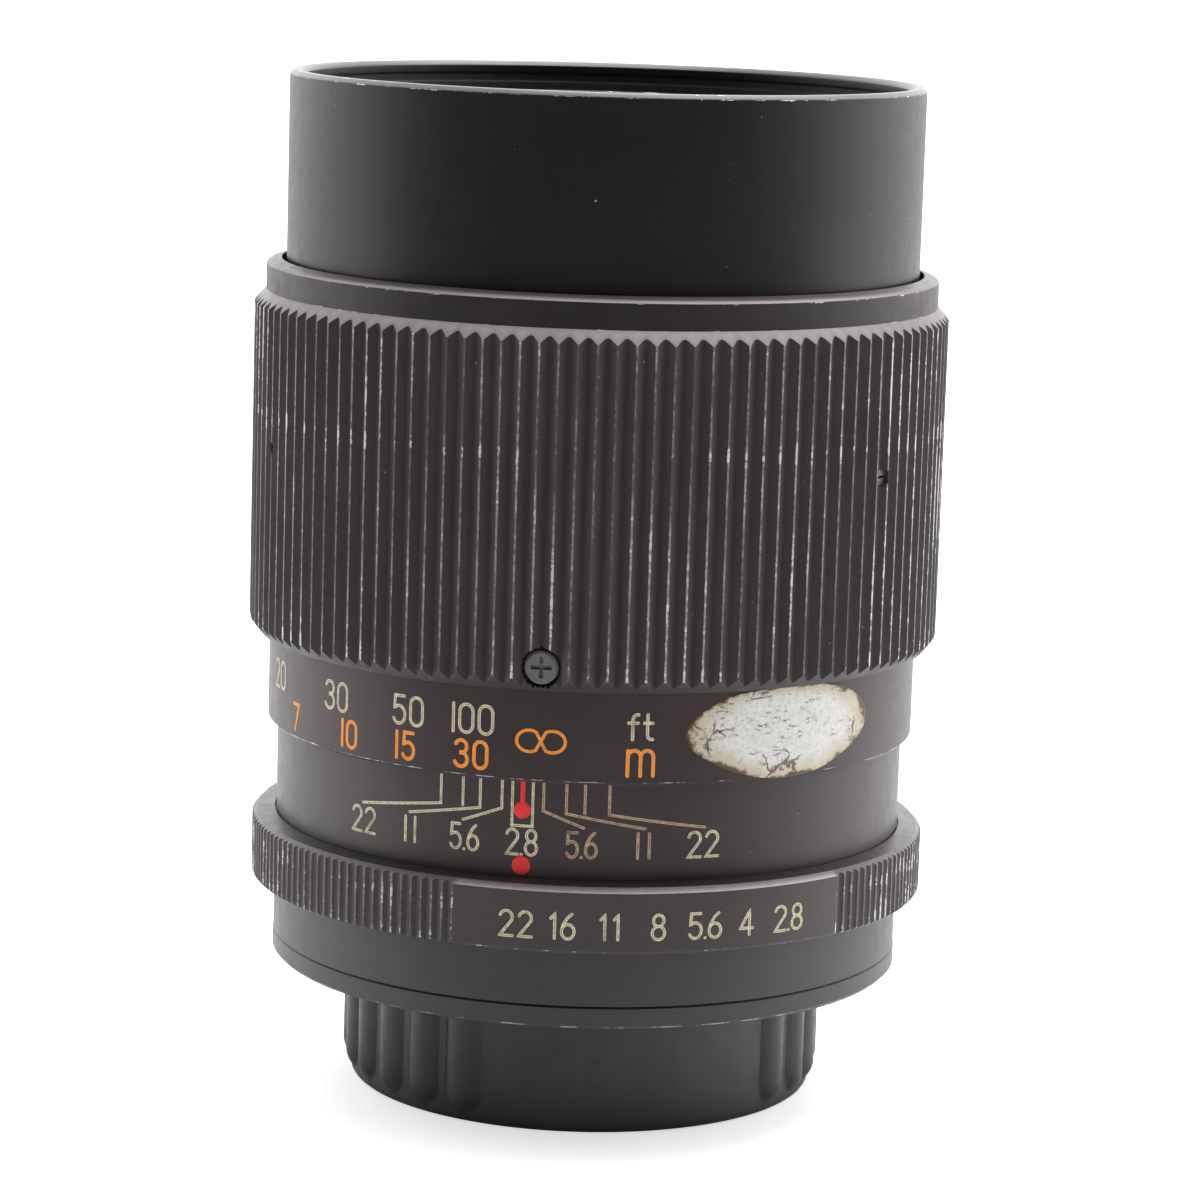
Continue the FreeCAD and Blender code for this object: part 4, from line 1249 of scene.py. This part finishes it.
        work.add(grid[::-1], uv[::-1], wrap_columns=True)
        settle(work.piece("torn_label", 60.0), Body.FOCUS, ScuffedLabel().material(),
               ["inspection_sticker"])

    def build(self) -> None:
        """Makes the grip, the figures and the label."""
        self.grip()
        self.figures()
        self.label()


@dataclass
class DepthScale:
    """Depth lines, figures and the red index on the fixed barrel."""

    radius: float = 30.55
    top: float = 36.2
    line: float = 0.25
    figures_z: float = 29.8
    tall: float = 2.6

    def flat(self, *corners: Tuple[float, float]) -> np.ndarray:
        """Turns (rel, height) corners into plane millimetres on the barrel."""
        made = np.array(corners, float)
        made[:, 0] = np.radians(made[:, 0]) * self.radius
        return made

    def build(self) -> None:
        """Makes the lines, figures, index line and dots."""
        thin = Engraving(self.radius, self.line)
        lines, brown = Patchwork(), Patchwork()
        for side in (-1.0, 1.0):
            work = lines if side < 0 else brown
            strokes = [self.flat((15.0 * side, self.top), (15.0 * side, 32.7), (32.0 * side, 31.4)),
                       self.flat((10.8 * side, self.top), (10.8 * side, 32.75)),
                       self.flat((7.6 * side, self.top), (7.6 * side, 32.7), (21.3 * side, 31.4)),
                       self.flat((3.65 * side, self.top), (3.65 * side, 32.85), (10.7 * side, 31.4))]
            thin.strokes(work, strokes)
        thin.strokes(lines, [self.flat((-1.8, self.top), (-1.8, 31.33), (1.8, 31.33), (1.8, self.top))])
        settle(lines.piece("depth_lines_left"), Body.FIXED, CREAM.material())
        settle(brown.piece("depth_lines_right"), Body.FIXED, BROWN_CREAM.material())
        cut = Engraving(self.radius, 0.27)
        left, right = Patchwork(), Patchwork()
        for text, rel in (("22", 31.8), ("11", 21.1), ("5.6", 10.4)):
            gap, stretch = (0.75, 1.0) if text == "11" else (0.3, 0.86 if "." in text else 1.0)
            cut.word(left, text, -rel, self.figures_z, self.tall, gap, stretch)
            cut.word(left if text == "22" else right, text, rel, self.figures_z, self.tall, gap, stretch)
        cut.word(left, "2.8", 0.0, self.figures_z, self.tall, 0.3, 0.9)
        settle(left.piece("depth_figures"), Body.FIXED, CREAM.material())
        settle(right.piece("depth_figures_right"), Body.FIXED, BROWN_CREAM.material())
        self.index()

    def index(self) -> None:
        """Red line that ends in a dot, and the stop index dot under it."""
        line = Patchwork()
        Engraving(self.radius, 0.42, 0.02).strokes(line, [self.flat((0, self.top), (0, 33.2))])
        settle(line.piece("index_line"), Body.FIXED, RED.material())
        dots = Patchwork()
        around = np.linspace(0, 2 * np.pi, 40, endpoint=False)
        share = np.array([1.0, 0.97, 0.9, 0.6, 0.3, 0.0])[:, None]
        rise = np.array([0.012, 0.045, 0.06, 0.07, 0.075, 0.076])[:, None]
        for level, size in ((32.8, 0.80), (27.6, 0.87)):
            x, y = share * size * np.cos(around), share * size * np.sin(around)
            uv = np.stack(np.broadcast_arrays(x * 0.0, 0.5 + 0.5 * share), axis=-1)
            grid = on_axis(np.degrees(x / self.radius), self.radius + rise, level + y)
            dots.add(grid, uv, wrap_columns=True)
        settle(dots.piece("index_dots"), Body.FIXED, RED.material())


@dataclass
class ApertureRing:
    """Knurled ring with a smooth panel that carries the stop figures."""

    radius: float = 32.9
    depth: float = 0.24
    knurls: int = 192
    land: float = 0.24
    panel: Tuple[float, float] = (-10.1, 57.0)
    foot: float = 20.1
    bore: float = 29.52
    lip: float = 30.65
    shoulder: Tuple[float, float] = (32.4, 26.35)
    figures_z: float = 22.7

    def columns(self) -> np.ndarray:
        """Azimuths of the ring's columns: five per knurl, one a degree on the panel."""
        pitch = TURN / self.knurls
        edge = pitch / 2 - self.land / 2
        local = np.array([-1.0, -0.72, -0.4, 0.0, 0.4, 0.72, 1.0]) * edge
        valleys = self.panel[1] + pitch / 2 + pitch * np.arange(self.knurls)
        valleys = valleys[valleys < self.panel[0] + TURN]
        smooth = np.arange(self.panel[0] + 0.4, self.panel[1] - 0.2, 1.0)
        rel = np.concatenate([(valleys[:, None] + local[None]).ravel(), smooth])
        return np.unique(np.round(np.mod(rel, TURN), 3))

    def knurled_radius(self, rel: np.ndarray) -> Tuple[np.ndarray, np.ndarray]:
        """Knurl: V valleys between lands, and a plain cylinder on the panel.

        Args:
            rel: azimuths.

        Returns:
            The radius and the raised share, which is below nought on the panel.
        """
        pitch = TURN / self.knurls
        off = np.abs(np.mod(rel - self.panel[1], pitch) - pitch / 2)
        down = 1.0 - np.clip(off / (pitch / 2 - self.land / 2), 0.0, 1.0)
        soft = 1.0 - (1.0 - down) ** 2.2
        from_panel = np.mod(rel - self.panel[0], TURN)
        inside = from_panel < self.panel[1] - self.panel[0]
        radius = np.where(inside, self.radius, self.radius - self.depth * soft)
        return radius, np.where(inside, -1.0, 1.0 - down)

    def shell(self) -> None:
        """Ring: the lesser of the knurl's radius and the chamfered outline."""
        rel = self.columns()
        crest, raised = self.knurled_radius(rel)
        low = self.foot + np.maximum(crest - 32.6, 0.0)
        high = 25.8 + (32.95 - crest)
        flat = np.full_like(rel, 1.0)
        rows = [(self.bore * flat, self.foot * flat), (32.55 * flat, self.foot * flat)]
        for s in (0.0, 0.5, 1.0):
            rows.append((32.6 + (crest - 32.6) * s, self.foot + 0.02 + (low - self.foot) * s))
        rows += [(crest, z * flat) for z in np.linspace(20.7, 25.3, 9)]
        rows.append((crest, high))
        count = len(rows)
        wide, level = self.shoulder
        rows += [(crest + (wide - crest) * s, high + (level - high) * s) for s in (0.0, 0.5, 1.0)]
        inside = ((wide, level), (self.lip + 0.05, 26.5), (self.lip, 26.45), (self.lip, 26.2),
                  (self.bore, 26.2))
        rows += [(r * flat, z * flat) for r, z in inside]
        radius, height = (np.array(part) for part in zip(*rows))
        on_crest = np.where(np.abs(radius - crest) < 0.01, raised[None], 0.6)
        on_crest = np.where(raised[None] < 0, 0.6, on_crest)
        # Nought from the top face inwards darkens it like a valley: painted shade where the fixed barrel
        # stands in the ring.
        on_crest[count + 3:] = 0.0
        faded = np.zeros_like(radius)
        faded[count:count + 3] = np.where(raised < 0, 1.0, 0.12) * np.array([[1.0], [0.4], [0.1]])
        uv = np.stack([faded, on_crest], axis=-1)
        work = Patchwork()
        work.add(on_axis(rel[None], radius, height), uv, wrap_columns=True, wrap_rows=True)
        settle(work.piece("knurled_stop_ring", 25.0), Body.APERTURE, RING_FINISH.material(),
               ["aperture_ring"])

    def build(self) -> None:
        """Makes the ring and its figures."""
        self.shell()
        work = Patchwork()
        cut = Engraving(self.radius, 0.27)
        for text, rel in (("22", 0.25), ("i6", 7.8), ("ii", 15.3), ("8", 23.2), ("5.6", 31.0), ("4", 38.3),
                          ("2.8", 46.4)):
            cut.word(work, text, rel, self.figures_z, 2.6, 0.55 if text == "ii" else 0.34)
        settle(work.piece("stop_figures"), Body.APERTURE, CREAM.material())


@dataclass
class RearCap:
    """Moulded cap with two groups of rounded ribs."""

    radius: float = 22.7
    rib_centre: float = 20.9
    rib_radius: float = 2.6
    first: float = 66.0
    pitch: float = 12.0
    ribs: int = 9
    rounding: float = 2.9
    thread_bore: float = 21.1
    inner_radius: float = 20.5

    def rib_surface(self, rel: np.ndarray, height: np.ndarray) -> np.ndarray:
        """Outer radius of the ribs: a circle off the axis, which shrinks as a sphere below its rounding.

        The radius is c cos(d) + sqrt(s^2 - c^2 sin(d)^2), with c the circle's centre, s its radius at that
        height and d the angle from the rib's middle.
        """
        ribs = self.first + self.pitch * np.arange(self.ribs)
        places = np.concatenate([ribs, ribs + 180.0])
        off = np.abs(np.mod(rel[:, None] - places[None] + 180.0, TURN) - 180.0).min(axis=1)
        d = np.radians(off)[None]
        size = np.sqrt(np.maximum(self.rib_radius ** 2 - np.maximum(self.rounding - height, 0.0) ** 2, 0.0))
        reach = size ** 2 - (self.rib_centre * np.sin(d)) ** 2
        return np.where(reach > 0, self.rib_centre * np.cos(d) + np.sqrt(np.maximum(reach, 0.0)), 0.0)

    def build(self) -> None:
        """Makes the cap: the greater of the body's radius and the ribs', closed by its inside."""
        rel = np.arange(720) * 0.5
        side = [(0.0, 0.0), (12.0, 0.0), (21.7, 0.0), (22.0, 0.03), (22.3, 0.13), (22.52, 0.3), (22.66, 0.52)]
        levels = np.r_[0.8, np.linspace(1.0, 3.0, 12), np.linspace(4.0, 11.3, 6), 11.5]
        side += [(self.radius, z) for z in levels]
        outer = np.array(side)
        radius = np.repeat(outer[:, :1], len(rel), 1)
        height = np.repeat(outer[:, 1:], len(rel), 1)
        ribs = self.rib_surface(rel, height)
        ribs = np.where(height > 11.45, ribs - 0.12, ribs)
        ribs = np.where(height > 0.25, ribs, 0.0)
        radius = np.maximum(radius, ribs)
        inside = [(22.7, 11.6), (22.7, 11.65), (22.5, 11.65), (22.5, 12.3), (22.44, 12.35), (21.4, 12.35),
                  (self.thread_bore, 12.05)]
        for z in np.arange(11.5, 7.7, -1.0):
            inside += [(self.thread_bore, z + 0.25), (self.thread_bore + 0.35, z),
                       (self.thread_bore, z - 0.25)]
        inside += [(self.thread_bore, 7.4), (self.inner_radius, 7.3), (self.inner_radius, 1.8), (20.3, 1.6),
                   (0.0, 1.6)]
        inner = np.array(inside)
        radius = np.concatenate([radius, np.repeat(inner[:, :1], len(rel), 1)])
        height = np.concatenate([height, np.repeat(inner[:, 1:], len(rel), 1)])
        work = Patchwork()
        work.add(on_axis(rel[None], radius, height), wrap_columns=True)
        settle(work.piece("ribbed_cap", 28.0), Body.CAP, MouldedPlastic().material(),
               ["rear_cap"])


@dataclass
class CarriedNodes:
    """CAD nodes that keep their shape and get a finish."""

    def build(self) -> None:
        """Dresses every node by the kind of thing it is."""
        glass = CoatedGlass("coated_glass_finish")
        inner_glass = CoatedGlass("inner_glass_finish", (0.92, 0.92, 0.86), (0.70, 0.42, 0.24), 1.30)
        finishes = {
            FRONT_FINISH: ["front_barrel"],
            SCALE_FINISH: ["distance_sleeve"],
            BARREL_FINISH: ["fixed_barrel"],
            BASE_FINISH: ["base_flange", "base_housing"],
            SCREW_FINISH: ["grip_screws", "set_screws"],
            BRASS_FINISH: ["focus_key", "iris_cam_ring", "helicoid_ring", "retainer_ring"],
            STEEL_FINISH: ["mount_screws", "key_screws", "detent_ball", "stop_down_pin", "pin_spring",
                           "aperture_drive_screw"],
            BLADE_FINISH: ["iris_blade_%d" % k for k in range(1, 7)],
            VelvetStrip(): ["hood_felt"],
            glass: ["front_element", "rear_element"],
            inner_glass: ["second_element", "third_element"],
        }
        special = {name: finish for finish, names in finishes.items() for name in names}
        built: Dict[object, bpy.types.Material] = {}
        for name, node in sorted(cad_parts.items()):
            finish = special.get(name, INNER_FINISH)
            if finish not in built:
                built[finish] = finish.material()
            dress(node, built[finish])
            LOG.info("%s: %s", name, finish.name)


# ------------------------------------------------------------------ studio
@dataclass
class Studio:
    """Pale floor, soft surrounding light and the camera."""

    side: float = 11.1
    distance: float = 412.64
    height: float = 117.86
    pitch: float = 9.6907
    roll: float = -1.763
    yaw: float = 0.0937
    focal: float = 128.33
    lean: float = 5.0

    def camera(self) -> None:
        """Stands the camera at the side angle, tilted down and rolled a little."""
        yaw, pitch, roll, side = (math.radians(v) for v in (self.yaw, self.pitch, self.roll, self.side))
        right = np.array([math.cos(yaw), -math.sin(yaw), 0.0])
        level = np.array([math.sin(yaw), math.cos(yaw), 0.0])
        up = np.array([0.0, 0.0, 1.0])
        ahead = level * math.cos(pitch) - up * math.sin(pitch)
        top = level * math.sin(pitch) + up * math.cos(pitch)
        across = right * math.cos(roll) - top * math.sin(roll)
        rise = right * math.sin(roll) + top * math.cos(roll)
        turn = np.array([[math.cos(side), -math.sin(side), 0.0], [math.sin(side), math.cos(side), 0.0],
                         [0.0, 0.0, 1.0]])
        place = turn @ np.array([0.0, -self.distance, self.height]) * MM
        matrix = np.eye(4)
        matrix[:3, :3] = np.stack([turn @ across, turn @ rise, -(turn @ ahead)], axis=1)
        matrix[:3, 3] = place
        data = bpy.data.cameras.new("studio_camera")
        data.lens = self.focal
        data.sensor_width = 36.0
        data.clip_start = 0.01
        data.clip_end = 50.0
        made = bpy.data.objects.new("studio_camera", data)
        bpy.context.scene.collection.objects.link(made)
        made.matrix_world = Matrix(matrix.tolist())
        bpy.context.scene.camera = made

    def surround(self) -> None:
        """World: plain white behind, dim on the camera's side and bright round the sides, top and back."""
        world = bpy.data.worlds.new("soft_surround")
        bpy.context.scene.world = world
        world.use_nodes = True
        world.node_tree.nodes.clear()
        t = Tree(world.node_tree)
        dim = math.radians(self.side - self.lean)
        towards = (math.sin(dim), -math.cos(dim), 0.0)
        direction = t.node("ShaderNodeTexCoord").outputs["Generated"]
        facing = t.along(direction, towards)
        level = t.spread(facing, 0.60, 0.06, 0.02, 1.2)
        level = t.plus(level, t.spread(facing, 0.0, -0.7, 0.0, 1.1))
        seen = t.node("ShaderNodeLightPath").outputs["Is Camera Ray"]
        light = t.node("ShaderNodeBackground", {"Color": (1.0, 0.995, 1.0), "Strength": level})
        plain = t.node("ShaderNodeBackground", {"Color": (1.0, 1.0, 1.0), "Strength": 1.0})
        mixed = t.node("ShaderNodeMixShader", {0: seen, 1: light.outputs[0], 2: plain.outputs[0]})
        t.node("ShaderNodeOutputWorld", {"Surface": mixed.outputs[0]})

    def floor(self) -> None:
        """Large pale floor that glows white to the camera; glossy rays see it turn black towards the camera's
        side, a painted dark reflection.
        """
        steps = np.linspace(-6.0, 6.0, 25)
        x, y = np.meshgrid(steps, steps)
        work = Patchwork()
        work.add(np.stack([x, y, np.zeros_like(x) - 0.00002], axis=-1))
        made = work.piece("pale_floor")
        material, t, shader = new_material("pale_floor_finish")
        point = t.object_point()
        mottle = t.noise(point, 3.0, 3.0, 0.5)
        t.feed(shader.inputs["Base Color"], t.blend(mottle, (0.84, 0.84, 0.84), (0.87, 0.87, 0.87)))
        t.feed(shader.inputs["Roughness"], t.spread(mottle, 0.3, 0.7, 0.75, 0.85))
        shader.inputs["Emission Color"].default_value = (1.0, 1.0, 1.0, 1.0)
        path = t.node("ShaderNodeLightPath")
        t.feed(shader.inputs["Emission Strength"], t.times(path.outputs["Is Camera Ray"], 0.62))
        towards = (math.sin(math.radians(self.side)), -math.cos(math.radians(self.side)), 0.0)
        near = t.along(point, towards)
        # Painted dark reflection: glossy rays see the floor as near-black on the camera's side.
        dim = t.times(path.outputs["Is Glossy Ray"], t.spread(near, 0.03, 0.12, 0.0, 0.93))
        black = t.node("ShaderNodeBsdfDiffuse", {"Color": (0.01, 0.01, 0.01)})
        mixed = t.node("ShaderNodeMixShader", {0: dim, 1: shader.outputs[0], 2: black.outputs[0]})
        output = next(n for n in material.node_tree.nodes if n.bl_idname == "ShaderNodeOutputMaterial")
        t.feed(output.inputs["Surface"], mixed.outputs[0])
        dress(made, material)

    def lamp(self, name: str, place: Tuple[float, float, float], size: float, power: float) -> None:
        """Adds a soft square lamp aimed at the lens."""
        data = bpy.data.lights.new(name, "AREA")
        data.size = size
        data.energy = power
        made = bpy.data.objects.new(name, data)
        bpy.context.scene.collection.objects.link(made)
        made.location = place
        aim = Vector((0.0, 0.0, 0.05)) - Vector(place)
        made.rotation_euler = aim.to_track_quat("-Z", "Y").to_euler()
        made.visible_camera = False

    def build(self) -> None:
        """Sets up the camera, the light and the floor."""
        self.camera()
        self.surround()
        self.floor()
        self.lamp("top_softbox", (0.1, 0.25, 0.9), 0.7, 9.0)
        bpy.context.scene.view_settings.view_transform = "Standard"


def main() -> None:
    """Builds every sub-assembly in order and reports each piece."""
    logging.basicConfig(level=logging.INFO, format="%(name)s %(message)s")
    for part in (Studio(), CarriedNodes(), Hood(), FrontBarrel(), FocusRing(), DepthScale(), ApertureRing(),
                 RearCap()):
        LOG.info("building %s", type(part).__name__)
        part.build()


if __name__ == "__main__":
    main()
